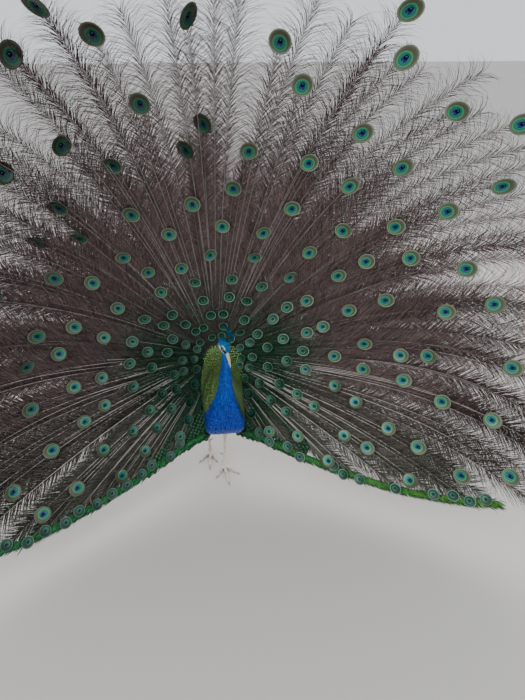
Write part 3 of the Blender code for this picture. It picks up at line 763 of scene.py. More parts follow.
def nearest_body(points, rows=120, columns=40, batch=4000):
    """The station and turn of the nearest of a grid of points on the body, for each point given."""
    u, v = lattice(np.linspace(0, LAST_STATION, rows), ring_turns(columns))
    grid = body_point(u, v).reshape(-1, 3).astype(np.float32)
    squares = (grid**2).sum(1)
    found = np.empty(len(points), int)
    for start in range(0, len(points), batch):
        part = points[start : start + batch].astype(np.float32)
        found[start : start + batch] = np.argmin(squares[None] - 2 * part @ grid.T, 1)
    return u.ravel()[found], v.ravel()[found]


def flesh_copy():
    """One mesh that holds a copy of every flesh solid, its loose triangles merged."""
    joined = bmesh.new()
    for name in FLESH_NODES:
        part = bmesh.new()
        part.from_mesh(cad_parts[name].data)
        bmesh.ops.remove_doubles(part, verts=part.verts, dist=0.00001)
        held = bpy.data.meshes.new("held")
        part.to_mesh(held)
        part.free()
        joined.from_mesh(held)
        bpy.data.meshes.remove(held)
    mesh = bpy.data.meshes.new("skin")
    joined.to_mesh(mesh)
    joined.free()
    return mesh


def apply_modifier(obj, name, kind, **settings):
    """Gives an object a modifier and replaces its mesh by the one that it makes."""
    modifier = obj.modifiers.new(name, kind)
    for key, value in settings.items():
        setattr(modifier, key, value)
    graph = bpy.context.evaluated_depsgraph_get()
    made = bpy.data.meshes.new_from_object(obj.evaluated_get(graph))
    obj.modifiers.clear()
    obj.data = made


def make_skin():
    """The whole bird's skin: the joined flesh, remade in cubes, smoothed, and drawn in by the coat's depth.

    The head's part is an ellipsoid about its centre, and the bare legs and the thighs go by height."""
    obj = bpy.data.objects.new("skin", flesh_copy())
    bpy.context.scene.collection.objects.link(obj)
    apply_modifier(obj, "join", "REMESH", mode="VOXEL", voxel_size=sizes().skin_voxel)
    apply_modifier(obj, "relax", "SMOOTH", factor=0.6, iterations=6)
    mesh = obj.data
    co = read_triples(mesh.vertices, "co").astype(float)
    normals = read_triples(mesh.vertex_normals, "vector")
    ahead, left, up = head_local(co)
    is_head = ramp((ahead / 0.039) ** 2 + (left / 0.027) ** 2 + (up / 0.030) ** 2, 1.25, 0.85)
    u, v = nearest_body(co)
    low_leg = ramp(co[:, 2], 0.175, 0.150)
    thigh = ramp(co[:, 2], 0.30, 0.275) * (1 - low_leg)
    depth = (coat_depth(u) * (1 - is_head) + 0.0006 * is_head) * (1 - low_leg)
    mesh.vertices.foreach_set("co", (co - normals * depth[:, None]).astype(np.float32).ravel())
    colour = blend_rgb(body_colour(u, v), rgb("thigh"), thigh)
    colour = blend_rgb(colour, rgb("leg"), low_leg)
    write_attribute(mesh, "Tint", blend_rgb(colour, head_colour(co), is_head))
    write_attribute(mesh, "Bare", low_leg)
    mesh.polygons.foreach_set("use_smooth", np.ones(len(mesh.polygons), bool))
    mesh.materials.clear()
    finish_piece(obj, skin_finish(), FLESH_NODES)


def skin_finish():
    """Skin: the markings, with broad scutes down the bare legs and fine pores elsewhere."""
    made, tools = new_finish("skin", 0.55, 0.35)
    tint = attribute(tools, "Tint", "Color")
    bare = attribute(tools, "Bare")
    place = tools.node("ShaderNodeTexCoord", "Object")
    settings = {"feature": "DISTANCE_TO_EDGE"}
    scales = tools.node("ShaderNodeTexVoronoi", "Distance", settings, Vector=place, Scale=210.0)
    crease = scales.step(0.0, 0.12)
    shade = 1 - bare * (1 - crease) * 0.45
    shade = shade * (1 - bare * noise(tools, 60.0).step(0.45, 0.75) * 0.30)
    return paint(made, tint.times(shade.grey()), crease * bare + noise(tools, 900.0) * 0.2, 0.6, 0.0008)


# ---------------------------------------------------------------- body plumage


def spread(low, high, place):
    """place moved from low..high into the middle of the unit square."""
    return 0.02 + 0.96 * (place - low) / (high - low)


def scatter_rows(rng, first, last, row_gap, feather_gap):
    """Staggered rows of feather roots on the body between two stations: station and turn of each.

    row_gap and feather_gap are functions of the station, in metres along and round the body. A row's
    roots are spaced evenly by length round it, and rows by the faster of the belly and the back."""
    stations, turns = [], []
    u, odd, step = first, 0, 0.05
    ring = np.linspace(0, TURN, 73)
    while u < last:
        loop = body_point(np.full(len(ring), u), ring)
        girth = np.linalg.norm(np.diff(loop, axis=0), axis=1)
        count = max(8, int(girth.sum() / feather_gap(u)))
        share = (np.arange(count) + 0.5 * odd) / count
        share = (share + rng.normal(0, 0.16 / count, count)) % 1
        turn = np.interp(share, np.concatenate(([0], np.cumsum(girth))) / girth.sum(), ring)
        stations.append(np.full(count, u) + rng.normal(0, 0.012, count))
        turns.append(turn)
        ends = body_point(np.array(((u, u), (u + step, u + step))), np.array((-0.5, 0.5)) * math.pi)
        u += row_gap(u) / (np.linalg.norm(ends[1] - ends[0], axis=1).max() / step)
        odd = 1 - odd
    return np.concatenate(stations), np.concatenate(turns)


def body_feathers(rng, name, first, last, stations, gaps, lengths, finish, slot, outline, edge):
    """One coat piece of feathers on the body between two stations.

    gaps and lengths are the spacing and the feather's length at some stations. Each feather's root is
    on the skin and its tip is lifted to the coat's outside. Colours come from body_colour, and edge
    darkens a golden scale's outline by that share."""
    def gap(u):
        """The spacing at a station."""
        return np.interp(u, stations, gaps)

    u, v = scatter_rows(rng, first, last, lambda s: gap(s) * 0.8, gap)
    count = len(u)
    point, along, side, normal = body_frame(u, v)
    depth = coat_depth(u)
    length = np.interp(u, stations, lengths) * rng.uniform(0.85, 1.15, count)
    width = gap(u) * rng.uniform(1.25, 1.55, count)
    rise = depth / length * rng.uniform(0.75, 1.15, count)
    lie, across = ruffle(rng, along, side, normal, rise[:, None], 0.07)
    root = point - normal * (depth * 1.05)[:, None]
    rim = len(outline)
    tint = body_colour(u, v) * rng.uniform(0.80, 1.22, count)[:, None]
    tint = np.repeat(tint[:, None], rim + 2, 1)
    if edge:
        golden = is_scaled(u, v)[:, None, None]
        tip = np.linalg.norm(outline - (0, 0.45), axis=1) > 0.3
        share = np.where(tip, edge, 0.0)[None, :, None] * golden
        tint[:, :rim] = tint[:, :rim] * (1 - share) + rgb("mantle_edge") * share
        tint[:, rim : rim + 1] *= 1 + golden
    place = pairs(spread(0, TURN, v), spread(first, last, u))
    lay_scales(name, root, lie, across, length, width, 0.16, tint, place, finish, slot, outline)


def make_body_coat():
    """Neck hackles, breast and mantle scales, and the rump's long soft down, with the thighs' feathers."""
    rng = np.random.default_rng(11)
    blue = feather_finish("blue plumage", 0.38, metallic=0.35, specular=0.5, vary=0.28)
    mantle = feather_finish("mantle scales", 0.42, metallic=0.25, specular=0.5, vary=0.2)
    down = feather_finish("down", 0.85, specular=0.2, vary=0.25, bump=0.3)
    # Name, first and last station, and gaps and lengths at stations, with the finish and the outline
    coats = (
        ("coat_neck", 0.05, 6.4, (0, 3, 6, 8), (0.0042, 0.0050, 0.0068, 0.0080),
         (0.010, 0.014, 0.018, 0.020), blue, "blue_plumage", NARROW, 0.85),
        ("coat_breast", 6.3, 9.9, (6, 8, 11, 13), (0.0075, 0.0095, 0.0125, 0.015),
         (0.016, 0.019, 0.024, 0.032), blue, "blue_plumage", BROAD, 0.85),
        ("coat_back", 9.7, 13.0, (9.8, 13), (0.0125, 0.0135),
         (0.0185, 0.022), mantle, "scaled_plumage", BROAD, 0.94),
        ("coat_rump", 12.8, 15.9, (13, 16), (0.011, 0.008),
         (0.046, 0.040), down, "scaled_plumage", NARROW, None),
    )
    for coat in coats:
        body_feathers(rng, *coat)
    make_thigh_coat(rng, feather_finish("thigh plumage", 0.8, specular=0.2, vary=0.22, bump=0.3))


def make_thigh_coat(rng, finish, each=760):
    """Buff feathers down both thighs, laid on each thigh's own surface, shorter towards the heel.

    Roots are drawn evenly by area from the solid's triangles, and feathers point down the leg."""
    points, normals = [], []
    for _, side in SIDES:
        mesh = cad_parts["thigh_" + side].data
        mesh.calc_loop_triangles()
        triangles = read_triples(mesh.loop_triangles, "vertices", np.int32)
        corners = read_triples(mesh.vertices, "co").astype(float)[triangles]
        one, other = corners[:, 1] - corners[:, 0], corners[:, 2] - corners[:, 0]
        cross = np.cross(one, other)
        area = np.linalg.norm(cross, axis=1)
        pick = rng.choice(len(area), each, p=area / area.sum())
        a, b = rng.random((2, each))
        flip = a + b > 1
        a, b = np.where(flip, 1 - a, a), np.where(flip, 1 - b, b)
        points.append(corners[pick, 0] + one[pick] * a[:, None] + other[pick] * b[:, None])
        normals.append(unit(cross[pick]))
    point, normal = np.concatenate(points), np.concatenate(normals)
    which = np.repeat((0, 1), each)
    gap = np.linalg.norm(body_point(*nearest_body(point)) - point, axis=1)
    free = (gap > 0.006) & (normal[:, 2] < 0.8)
    point, normal, which, gap = point[free], normal[free], which[free], gap[free]
    count = len(point)
    down = unit(np.array((0, 0, -1.0)) + normal * normal[:, 2:3])
    length = np.interp(point[:, 2], (0.15, 0.20, 0.32), (0.009, 0.017, 0.024)) * rng.uniform(0.8, 1.2, count)
    lie, across = ruffle(rng, down, unit(np.cross(normal, down)), normal, (0.0026 / length)[:, None], 0.12)
    tint = blend_rgb(rgb("thigh"), rgb("belly"), ramp(gap, 0.05, 0.0)) * rng.uniform(0.8, 1.2, count)[:, None]
    turn = np.arctan2(normal[:, 1], normal[:, 0])
    place = pairs(spread(-math.pi, 3 * math.pi, turn + TURN * which), spread(0.13, 0.42, point[:, 2]))
    lay_scales("coat_thighs", point - normal * 0.0028, lie, across, length, length * 0.55, 0.12, tint, place,
               finish, "thigh_plumage")


# ---------------------------------------------------------------- head


def head_surface(t, turn):
    """The head's outside at a place from nape, -1, to bill, 1, and a turn round it, left being 0."""
    stops = (-1.0, -0.93, -0.74, -0.42, -0.05, 0.30, 0.62, 0.88, 1.0)
    wide = np.interp(t, stops, (0.10, 0.48, 0.80, 0.98, 1.00, 0.88, 0.66, 0.48, 0.40))
    above = np.interp(t, stops, (0.12, 0.50, 0.80, 0.98, 1.02, 0.88, 0.62, 0.42, 0.34))
    below = np.interp(t, stops, (0.12, 0.48, 0.80, 0.98, 0.98, 0.84, 0.62, 0.44, 0.36))
    tall = np.where(np.sin(turn) > 0, above, below)
    left, up = wide * HEAD_HALF[1] * np.cos(turn), tall * HEAD_HALF[2] * np.sin(turn)
    return in_head(HEAD_CENTRE + SHIFT, t * HEAD_HALF[0], left, up)


def make_head_coat():
    """Tiny flat feathers over the crown, cheeks and throat, left off the bare skin round the eyes.

    Roots stand on a grid of rings from nape to bill, every other ring turned by half a step."""
    rng = np.random.default_rng(12)
    rings, columns, step = 46, 40, 0.02
    t, turn = lattice(np.linspace(-0.95, 0.95, rings), ring_turns(columns))
    turn = turn + (np.arange(rings) % 2)[:, None] * math.pi / columns
    t, turn = t.ravel(), turn.ravel()
    t = t + rng.normal(0, 0.008, len(t))
    point = head_surface(t, turn)
    along = unit(head_surface(t - step, turn) - head_surface(t + step, turn))
    around = unit(head_surface(t, turn + step) - head_surface(t, turn - step))
    normal = unit(np.cross(along, around))
    normal *= np.sign(dot(normal, point - HEAD_CENTRE - SHIFT))
    colour = head_colour(point)
    bare = colour.min(1) > 0.3
    ahead, left, up = head_local(point)
    from_eye = np.linalg.norm(np.stack((ahead, np.abs(left), up), -1) - EYE_PLACE, axis=1)
    keep = ~bare & (from_eye > EYE_RADIUS * 1.25)
    point, along, normal, colour, t, turn = (x[keep] for x in (point, along, normal, colour, t, turn))
    count = len(point)
    length = np.interp(t, (-1, 0.2, 1), (0.0062, 0.0042, 0.0022)) * rng.uniform(0.85, 1.15, count)
    lie, across = ruffle(rng, along, unit(np.cross(normal, along)), normal, 0.16, 0.08)
    tint = colour * rng.uniform(0.75, 1.25, count)[:, None]
    place = pairs(spread(0, TURN, turn % TURN), spread(-1, 1, t))
    finish = feather_finish("head plumage", 0.35, metallic=0.35, specular=0.5)
    lay_scales("coat_head", point - normal * 0.0007, lie, across, length, length * 0.62, 0.14, tint, place,
               finish, "blue_plumage")


def sphere_grid(centre, radius, rows, columns):
    """A closed ball whose poles lie along the head's sideways axis: points and faces."""
    polar = np.linspace(0, math.pi, rows + 2)[1:-1]
    p, q = lattice(polar, ring_turns(columns))
    rel = np.stack((np.sin(p) * np.cos(q), np.cos(p), np.sin(p) * np.sin(q)), -1)
    rel = np.concatenate((rel.reshape(-1, 3), ((0, 1, 0), (0, -1, 0))))
    points = centre + radius * in_head(0.0, *rel.T)
    size = rows * columns
    first = fan_faces(0, columns, size)[:, (1, 2, 0)]
    last = fan_faces(size - columns, columns, size + 1)[:, ::-1]
    return points, [grid_faces(rows, columns), first, last]


def make_eyes():
    """Two dark glossy eyes with a brown iris, each in a ring of bare lid.

    A lid is a flat tube carried round the ball, its own round at a radius that meets the ball."""
    made, tools = new_finish("eye", 0.08, 0.35, Coat_Weight=0.5, Coat_Roughness=0.04)
    paint(made, attribute(tools, "Out").stops(
        (0.0, (0.010, 0.008, 0.006)), (0.70, (0.020, 0.010, 0.005)), (0.78, (0.040, 0.018, 0.007)),
        (0.90, (0.055, 0.024, 0.009)), (0.925, (0.002, 0.002, 0.002)), (1.0, (0.001, 0.001, 0.001))))
    lid = new_finish("eyelid", 0.6, 0.3, Base_Color=(0.10, 0.12, 0.12, 1))[0]
    rings, columns = 36, 8
    a, b = lattice(ring_turns(rings), ring_turns(columns))
    left = 0.0018 + 0.0025 * np.sin(b)
    round_ball = np.sqrt(EYE_RADIUS**2 - left**2) + 0.0003 + 0.0009 * np.cos(b)
    ahead, up = round_ball * np.cos(a) * 1.05, round_ball * np.sin(a) * 0.98
    tube = grid_faces(rings + 1, columns)[:, (0, 3, 2, 1)] % (rings * columns)
    for sign, name in SIDES:
        centre = in_head(HEAD_CENTRE, *(np.array(EYE_PLACE) * (1, sign, 1))) + SHIFT
        points, faces = sphere_grid(centre, EYE_RADIUS, 23, 32)
        out = ((points - centre) @ LEFT) * sign / EYE_RADIUS
        obj = make_mesh("eye_ball_" + name, points, turn_out(points, faces, centre), Out=out)
        finish_piece(obj, made, ["eye_" + name])
        points = in_head(centre, ahead, sign * left, up).reshape(-1, 3)
        obj = make_mesh("lid_" + name, points, turn_out(points, [tube], centre))
        finish_piece(obj, lid)


def make_bill():
    """Upper and lower bill: half cones carried along a line that droops, with nostrils in the upper.

    Width and height taper by a power of the share left, and a nostril is a bell-shaped dent."""
    made = horn_finish("bill horn", 0.35, 300.0, 0.72, 1.15)
    base = HEAD_CENTRE + SHIFT + FORWARD * (HEAD_HALF[0] - BILL_INSET)
    # Share of the bill's length, half width, height, and where it starts over the middle line
    halves = {"upper": (1.0, 0.0070, 0.0082, 0.0002), "lower": (0.90, 0.0063, -0.0059, -0.0002)}
    rows, columns = 22, 15
    size = rows * columns
    t, turn = lattice(np.linspace(0, 1, rows), np.linspace(0, math.pi, columns))
    taper = np.maximum(1 - t, 0) ** 0.62 + 0.045
    nostril = 0.0011 * np.exp(-(((t - 0.22) / 0.06) ** 2))
    nostril = nostril * np.exp(-(((np.abs(np.cos(turn)) - 0.62) / 0.16) ** 2))
    here, there = np.arange(rows - 1) * columns, np.arange(1, rows) * columns
    flat = np.stack((here + columns - 1, here, there, there + columns - 1), -1)
    root_cap = fan_faces(0, columns, size)
    tip_cap = fan_faces(size - columns, columns, size + 1)[:, (1, 0, 2)]
    for name, (share, half_width, tall, start) in halves.items():
        wide = (half_width * taper - (nostril if name == "upper" else 0)) * np.cos(turn)
        high = -0.0065 * t**2.2 + start + tall * taper * np.sin(turn) ** 0.9
        ahead = (BILL_LENGTH * share + BILL_INSET) * t * (1 - 0.05 * t)
        points = in_head(base, ahead, wide, high).reshape(-1, 3)
        ends = np.stack((base + UP * (start + tall * 0.4), points[-columns:].mean(0)))
        points = np.concatenate((points, ends))
        faces = turn_out(points, [grid_faces(rows, columns, False), root_cap, tip_cap, flat], base)
        finish_piece(make_mesh("bill_horn_" + name, points, faces), made, ["bill_" + name])


def make_crest():
    """A fan of bare shafts on the hind crown, each ending in a small blue-green plume.

    A shaft goes straight along its ray, and a plume's barbs leave it at angles that grow outwards."""
    rng = np.random.default_rng(13)
    low, high = (np.array(x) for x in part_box("crest"))
    count, points, barbs = 24, 6, 13
    spread_at = np.linspace(-1, 1, count)
    turn = math.radians(-34) + math.radians(31) * spread_at
    ray = UP * np.cos(turn)[:, None] + FORWARD * np.sin(turn)[:, None]
    ray = unit(ray + LEFT * rng.normal(0, 0.13, count)[:, None])
    foot = HEAD_CENTRE + SHIFT - FORWARD * 0.011 + UP * (HEAD_HALF[2] - 0.002)
    foot = foot + FORWARD * (0.0045 * spread_at)[:, None]
    long = (high[2] - low[2]) * 0.86 * rng.uniform(0.86, 1.0, count)
    t = np.linspace(0, 1, points)
    path = foot[:, None] + ray[:, None] * (long[:, None] * t)[..., None] * 0.92
    width = np.broadcast_to(0.00045 * (1 - 0.4 * t), (count, points))
    verts, faces, _ = tapered_tubes(path, LEFT[None, None], np.cross(ray, LEFT)[:, None], width, width, 4)
    shafts = np.tile(rgb("belly") + 0.02, (len(verts), 1))
    out = np.tile(np.linspace(-1, 1, barbs), count)
    which = np.repeat(np.arange(count), barbs)
    across = unit(np.cross(ray, LEFT))[which] * 0.9 + LEFT * 0.5 * rng.normal(0, 0.5, len(which))[:, None]
    ray, far = ray[which], long[which]
    root = foot[which] + ray * (far * (0.80 - 0.14 * np.abs(out)))[:, None]
    reach = 0.0150 * rng.uniform(0.8, 1.1, len(which))
    way = unit(ray + across * (out * 0.62)[:, None])
    later = unit(ray + across * (out * 0.20)[:, None])
    half = (reach * 0.5)[:, None]
    tuft = np.stack((root, root + way * half, root + (way + later) * half), 1)
    thick = np.tile((0.00075, 0.00095, 0.0), (len(which), 1))
    flat = unit(np.cross(ray, across))
    more, plume_faces, size = tapered_tubes(tuft, unit(across)[:, None], flat[:, None], thick, thick * 0.5)
    tint = np.tile(np.array((0.006, 0.10, 0.17)), (len(more), 1))
    tint = tint * np.repeat(rng.uniform(0.6, 1.5, len(which)), size)[:, None]
    place = pairs(spread(-1, 1, spread_at), 0.3)
    bake = np.concatenate((
        patch_uv(place, tube_local(points, 4)),
        patch_uv(place[which] + (0, 0.4), tube_local(3, 3)),
    ))
    faces = faces + [f + len(verts) for f in plume_faces]
    tint = np.concatenate((shafts, tint))
    obj = make_mesh("crest_plumes", np.concatenate((verts, more)), faces, bake, Tint=tint)
    finish_piece(obj, feather_finish("crest plumage", 0.4, metallic=0.3), ["crest"])


def make_claws():
    """Claws and spurs keep their solids' shape, in horn."""
    made = horn_finish("claw horn", 0.38, 260.0, 0.45, 0.85)
    for name in CLAW_NODES:
        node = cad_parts[name]
        node.data.materials.clear()
        node.data.materials.append(made)


# ---------------------------------------------------------------- wings and tail


def wing_point(u, w, sign):
    """A point of the drooped wing's middle sheet: u from wrist to tip, w from lower to upper edge.

    The sheet's half width is a half sine along the wing, at least a power of what is left of it, and
    the sheet bulges outwards by a parabola across."""
    axis = WING_TIP - WING_WRIST
    upward = unit(np.array((0.0, -axis[2], axis[1])))
    half = WING_CHORD * (np.sin(math.pi * np.minimum(u * 1.30 + 0.13, 1) ** 0.80) * 0.86 + 0.10 * (1 - u))
    half = np.maximum(half, 0.046 * np.maximum(1.25 - u, 0) ** 0.8)
    bulge = (0.013 * (1 - w * w) - 0.012 * np.maximum(w, 0) ** 2) * (1 - u)
    point = WING_WRIST + axis * u[..., None] + upward * (half * w)[..., None]
    point[..., 0] = (point[..., 0] + bulge) * sign
    return point + SHIFT


def blade_tint(tint, points):
    """One colour a blade given to its points: darker at both edges, paler along the quill."""
    shade = np.append(np.tile((0.50, 1.25, 0.50, 1.25), points - 1), 0.8)
    return (tint[:, None] * shade[None, :, None]).reshape(-1, 3)


def make_wings():
    """Both drooped wings: chestnut primaries, dark secondaries and barred coverts, outside and inside.

    A quill goes from its start to its end on the wing's sheet, curving up by a power of its length."""
    rng = np.random.default_rng(14)
    quill = feather_finish("wing quills", 0.5, vary=0.18, bump=0.25)
    primaries, count, points = 10, 19, 10
    row = np.arange(count)
    is_primary = row < primaries
    start_u = np.where(is_primary, 0.30 + 0.012 * row, 0.06 + 0.02 * (row - primaries))
    start_w = np.interp(row, (0, 9, 18), (-0.55, 0.25, 0.85))
    end_u = np.interp(row, (0, 2, 9, 10, 18), (0.93, 0.99, 0.84, 0.74, 0.55))
    end_w = np.interp(row, (0, 9, 10, 18), (-0.95, 0.75, 0.35, 0.90))
    t = np.linspace(0, 1, points)
    u = start_u[:, None] + (end_u - start_u)[:, None] * t
    w = start_w[:, None] + (end_w - start_w)[:, None] * t**1.3
    profile = np.sin(math.pi * np.clip(t * 0.86 + 0.10, 0, 1)) ** 0.45
    wide = np.where(is_primary, 0.0115, 0.0135)[:, None] * profile
    colour = np.where(is_primary[:, None], rgb("primary"), rgb("covert_bar") * 2.5)
    place = pairs(spread(0, count, row), 0.2)
    thick = np.full((count, points), 0.00045)
    for sign, name in SIDES:
        path = wing_point(u, w, sign)
        layer = (row[:, None] - 9) * 0.00022 * sign
        path[..., 0] += layer * 3 - sign * 0.0035
        along = unit(np.gradient(path, axis=1))
        out = np.broadcast_to(np.array((sign, 0.0, 0.0)), along.shape)
        out = unit(out - along * dot(out, along))
        tint = blade_tint(colour * rng.uniform(0.85, 1.15, count)[:, None], points)
        lay_tubes("wing_quills_" + name, path, np.cross(out, along), out, wide, thick, tint, place, quill,
                  ["wing_" + name], 4)
        make_wing_coverts(name, sign, rng)


def make_wing_coverts(name, sign, rng):
    """Rows of rounded feathers, barred buff and black, over both faces of one wing's upper part."""
    rows, columns = 26, 22
    u, w = lattice(np.linspace(0.0, 0.50, rows), np.linspace(-0.86, 0.96, columns))
    w = w + (np.arange(rows) % 2)[:, None] / columns
    u, w = (np.repeat(x.ravel(), 2) for x in (u, w))
    face = np.tile((1.0, -1.0), rows * columns)
    keep = u < 0.50 - 0.18 * np.clip(-w, 0, 1)
    u, w, face = u[keep], np.clip(w[keep], -0.92, 0.98), face[keep]
    count = len(u)
    u = np.clip(u + rng.normal(0, 0.004, count), 0, 0.55)
    point = wing_point(u, w, sign)
    along = unit(wing_point(u + 0.02, w, sign) - point)
    out = np.stack((face * sign, np.zeros(count), np.zeros(count)), -1)
    out = unit(out - along * dot(out, along))
    thick = WING_THICK * (1 - u) ** 0.7 * (1 - 0.55 * w * w)
    root = point + out * (thick * 0.72)[:, None]
    length = np.interp(u, (0, 0.5), (0.014, 0.030)) * rng.uniform(0.9, 1.1, count)
    lie = unit(along + out * 0.07)
    place = pairs(spread(-1, 3, w + (1 - face)), spread(-0.02, 0.56, u))
    tint = rgb("covert") * rng.uniform(0.85, 1.15, count)[:, None]
    along_feather = length[:, None] * np.append(BROAD[:, 1], (FEATHER_MIDDLE, FEATHER_MIDDLE))
    lay_scales("wing_coverts_" + name, root, lie, np.cross(out, lie), length, length * 0.72, 0.08, tint,
               place, barred_finish(), "wing_plumage", thick=0.04, Along=along_feather.ravel())


def barred_finish():
    """Buff feathers crossed by wavy black bars, one every few millimetres of their length."""
    made, tools = new_finish("barred coverts", 0.6, 0.3)
    wave = attribute(tools, "Along") * 760.0 + noise(tools, 130.0) * 4.0
    wave = wave.math("SINE", wave).step(-0.25, 0.25)
    return paint(made, wave.mix(attribute(tools, "Tint", "Color"), tuple(rgb("covert_bar"))))


def make_tail():
    """Twenty stiff brown tail quills in a half circle behind the train, in three layers."""
    rng = np.random.default_rng(15)
    count, points, start = 20, 12, 0.06
    angle = TAIL_SPREAD * np.linspace(-1, 1, count)
    reach = TAIL_LENGTH * (1 - 0.12 * np.abs(np.sin(angle))) * rng.uniform(0.97, 1.0, count)
    t = np.linspace(0, 1, points)
    path, _, side, normal = dish(angle[:, None], start + (reach - start)[:, None] * t)
    path = path - normal * (0.0150 + 0.0016 * (np.arange(count) % 3))[:, None, None]
    wide = 0.036 * np.sin(math.pi * np.clip(0.04 + t * 0.90, 0, 1)) ** 0.42 * (0.35 + 0.65 * t)
    tint = blade_tint(rgb("rectrix") * rng.uniform(0.85, 1.2, count)[:, None], points)
    finish = feather_finish("tail quills", 0.55, vary=0.2, bump=0.25)
    lay_tubes("tail_quills", path, side, normal, np.tile(wide, (count, 1)), np.full((count, points), 0.0005),
              tint, dish_place(angle, 0.3), finish, ["tail"], 4)


# ---------------------------------------------------------------- train


def dish_place(angle, length):
    """Where a root on the dish lies on the bake map: the dish laid flat in polar form."""
    return 0.5 + pairs(length * np.sin(angle), length * np.cos(angle)) / BAKE_WIDTH


def train_plan():
    """Every train feather: its angle, length to the eye or tip, sideways sweep, layer and kind.

    Eyed feathers stand in rings, each turned by half a gap from the last and stopped at the rim."""
    rng = np.random.default_rng(16)
    rows = []

    def add(angle, length, layer, kind):
        """Adds feathers of one layer and kind to the plan."""
        rows.append(np.stack((angle, length, np.full(len(angle), layer), np.full(len(angle), kind)), -1))

    edge_angle = np.radians(np.linspace(100, 172, 60))
    edge_reach = train_reach(edge_angle)
    for k, radius in enumerate(EYE_RINGS):
        crowd = float(np.interp(radius, (0.1, 0.3, 1.0, 1.22, 1.33), (0.72, 0.92, 1.05, 1.0, 0.62)))
        per_ring = round(sizes().ring_feathers * crowd)
        limit = min(float(np.interp(-radius * 1.10 - 0.055, -edge_reach, edge_angle)), RING_LIMIT)
        gap = 2 * limit / (per_ring - 1)
        angle = -limit + gap * (np.arange(per_ring) + 0.5 * (k % 2))
        angle = angle[angle <= limit + 1e-6]
        angle = angle + rng.normal(0, 0.13, len(angle)) * gap
        length = radius * (1 + 0.08 * np.cos(angle / 2) ** 2) * (1 + rng.normal(0, 0.028, len(angle)))
        add(np.clip(angle, -limit, limit), length, k / (len(EYE_RINGS) - 1), EYED)
    place = np.linspace(-1, 1, FISHTAILS)
    angle = FISHTAIL_SPREAD * np.sign(place) * np.abs(place) ** 0.84 + rng.normal(0, 0.02, FISHTAILS)
    add(angle, full_reach(angle) * rng.uniform(0.92, 0.985, FISHTAILS), 1.1, FISHTAIL)
    angle, reach = rim_steps(RIM_EYE_GAP)[:2]
    angle = angle + rng.uniform(-0.35, 0.35, len(angle)) * RIM_EYE_GAP / reach
    chosen = rng.random(len(angle)) < 0.82
    angle, reach = angle[chosen], reach[chosen]
    add(angle, reach - rng.uniform(0.032, 0.050, len(angle)), 0.3, RIM_EYED)
    angle, length, layer, kind = np.concatenate(rows).T
    bow = (0.10 + 0.28 * ramp(length, 0.7, 1.4)) * np.sin(angle) * length * ramp(np.cos(angle), -0.45, 0.1)
    sweep = rng.normal(0, 0.045, len(angle)) * np.minimum(length, 1) + bow
    return angle, length, sweep, layer, kind


def feather_path(angle, length, sweep, layer, t):
    """Points and axes of feathers at shares t of their length, each lying in its own layer of the dish.

    The sweep turns a feather's angle by sweep·(t² − t), and short feathers lie in front of long ones."""
    def place(share):
        """The dish at a share of every feather's length."""
        return dish(angle[:, None] + sweep[:, None] * (share * share - share), length[:, None] * share)

    point, _, _, normal = place(t)
    along = unit(place(t + 0.01)[0] - place(t - 0.01)[0])
    side = unit(np.cross(along, normal))
    near = ramp(length[:, None] * t, 0.55, 0.15)
    lift = (0.0045 + 0.0075 * near) * (1 - layer[:, None]) - 0.0015
    return point + normal * lift[..., None], along, side, np.cross(side, along)


def make_shafts(plan):
    """The off-white quills of the train, one tapered tube each, darker towards their tips, with painted shade
    high in the fan and on the viewer's left.
    """
    angle, length, sweep, layer, _ = plan
    points = 15
    start = np.minimum(0.055 / length, 0.45)
    t = start[:, None] + (1 - start[:, None]) * np.linspace(0, 1, points)
    path, _, side, normal = feather_path(angle, length, sweep, layer, t)
    low = ramp(-np.cos(angle), -0.35, 0.25)[:, None]
    path = path + normal * ((0.0028 + 0.0042 * low) * ramp(t * length[:, None], 0.18, 0.42))[..., None]
    radius = sizes().shaft_radius * (0.45 + 0.55 * np.minimum(length[:, None], 1.0))
    radius = radius * (1 - 0.78 * np.linspace(0, 1, points))
    share = np.concatenate((np.repeat(t[:, :-1], 4, 1), t[:, -1:]), 1)
    # Painted shade: shafts are darker high in the fan, where it is backlit, and darker on the viewer's left
    # than on the right
    pale = rgb("shaft") * (0.34 + 0.56 * low[:, :, None] * (0.84 + 0.14 * np.sign(angle)[:, None, None]))
    tint = blend_rgb(pale, rgb("barb") * 2.0, ramp(share, 0.72, 1.0))
    tint = blend_rgb(tint, rgb("barb_green") * 1.5, ramp(share * length[:, None], 0.30, 0.10) * 0.75)
    finish = feather_finish("train shafts", 0.4, vary=0.15, bump=0)
    lay_tubes("train_shafts", path, side, normal, radius, radius * 0.8, tint.reshape(-1, 3),
              dish_place(angle, length * 0.5), finish, TRAIN_NODES, 4)


def train_colour(angle, length, share, near_eye):
    """Barb colour: green near the body, least so above it, purplish brown further out and darker towards
    the long tips as painted shade of the backlit top, and green again round the eyes and low down."""
    green = ramp(length, 0.52, 0.22) * (1 - 0.65 * ramp(np.cos(angle), 0.2, 0.9))
    green = np.maximum(green, 0.40 * ramp(-np.cos(angle), -0.10, 0.45))
    # Barbs far out go to the far barb colour: painted shade of the backlit top of the fan
    colour = blend_rgb(rgb("barb"), rgb("barb_far_shaded"), ramp(length, 0.75, 1.20))
    colour = blend_rgb(colour, rgb("barb_green"), np.maximum(green, near_eye * 0.6))
    return colour * (1 - 0.25 * ramp(share, 0.6, 0.1))[..., None]


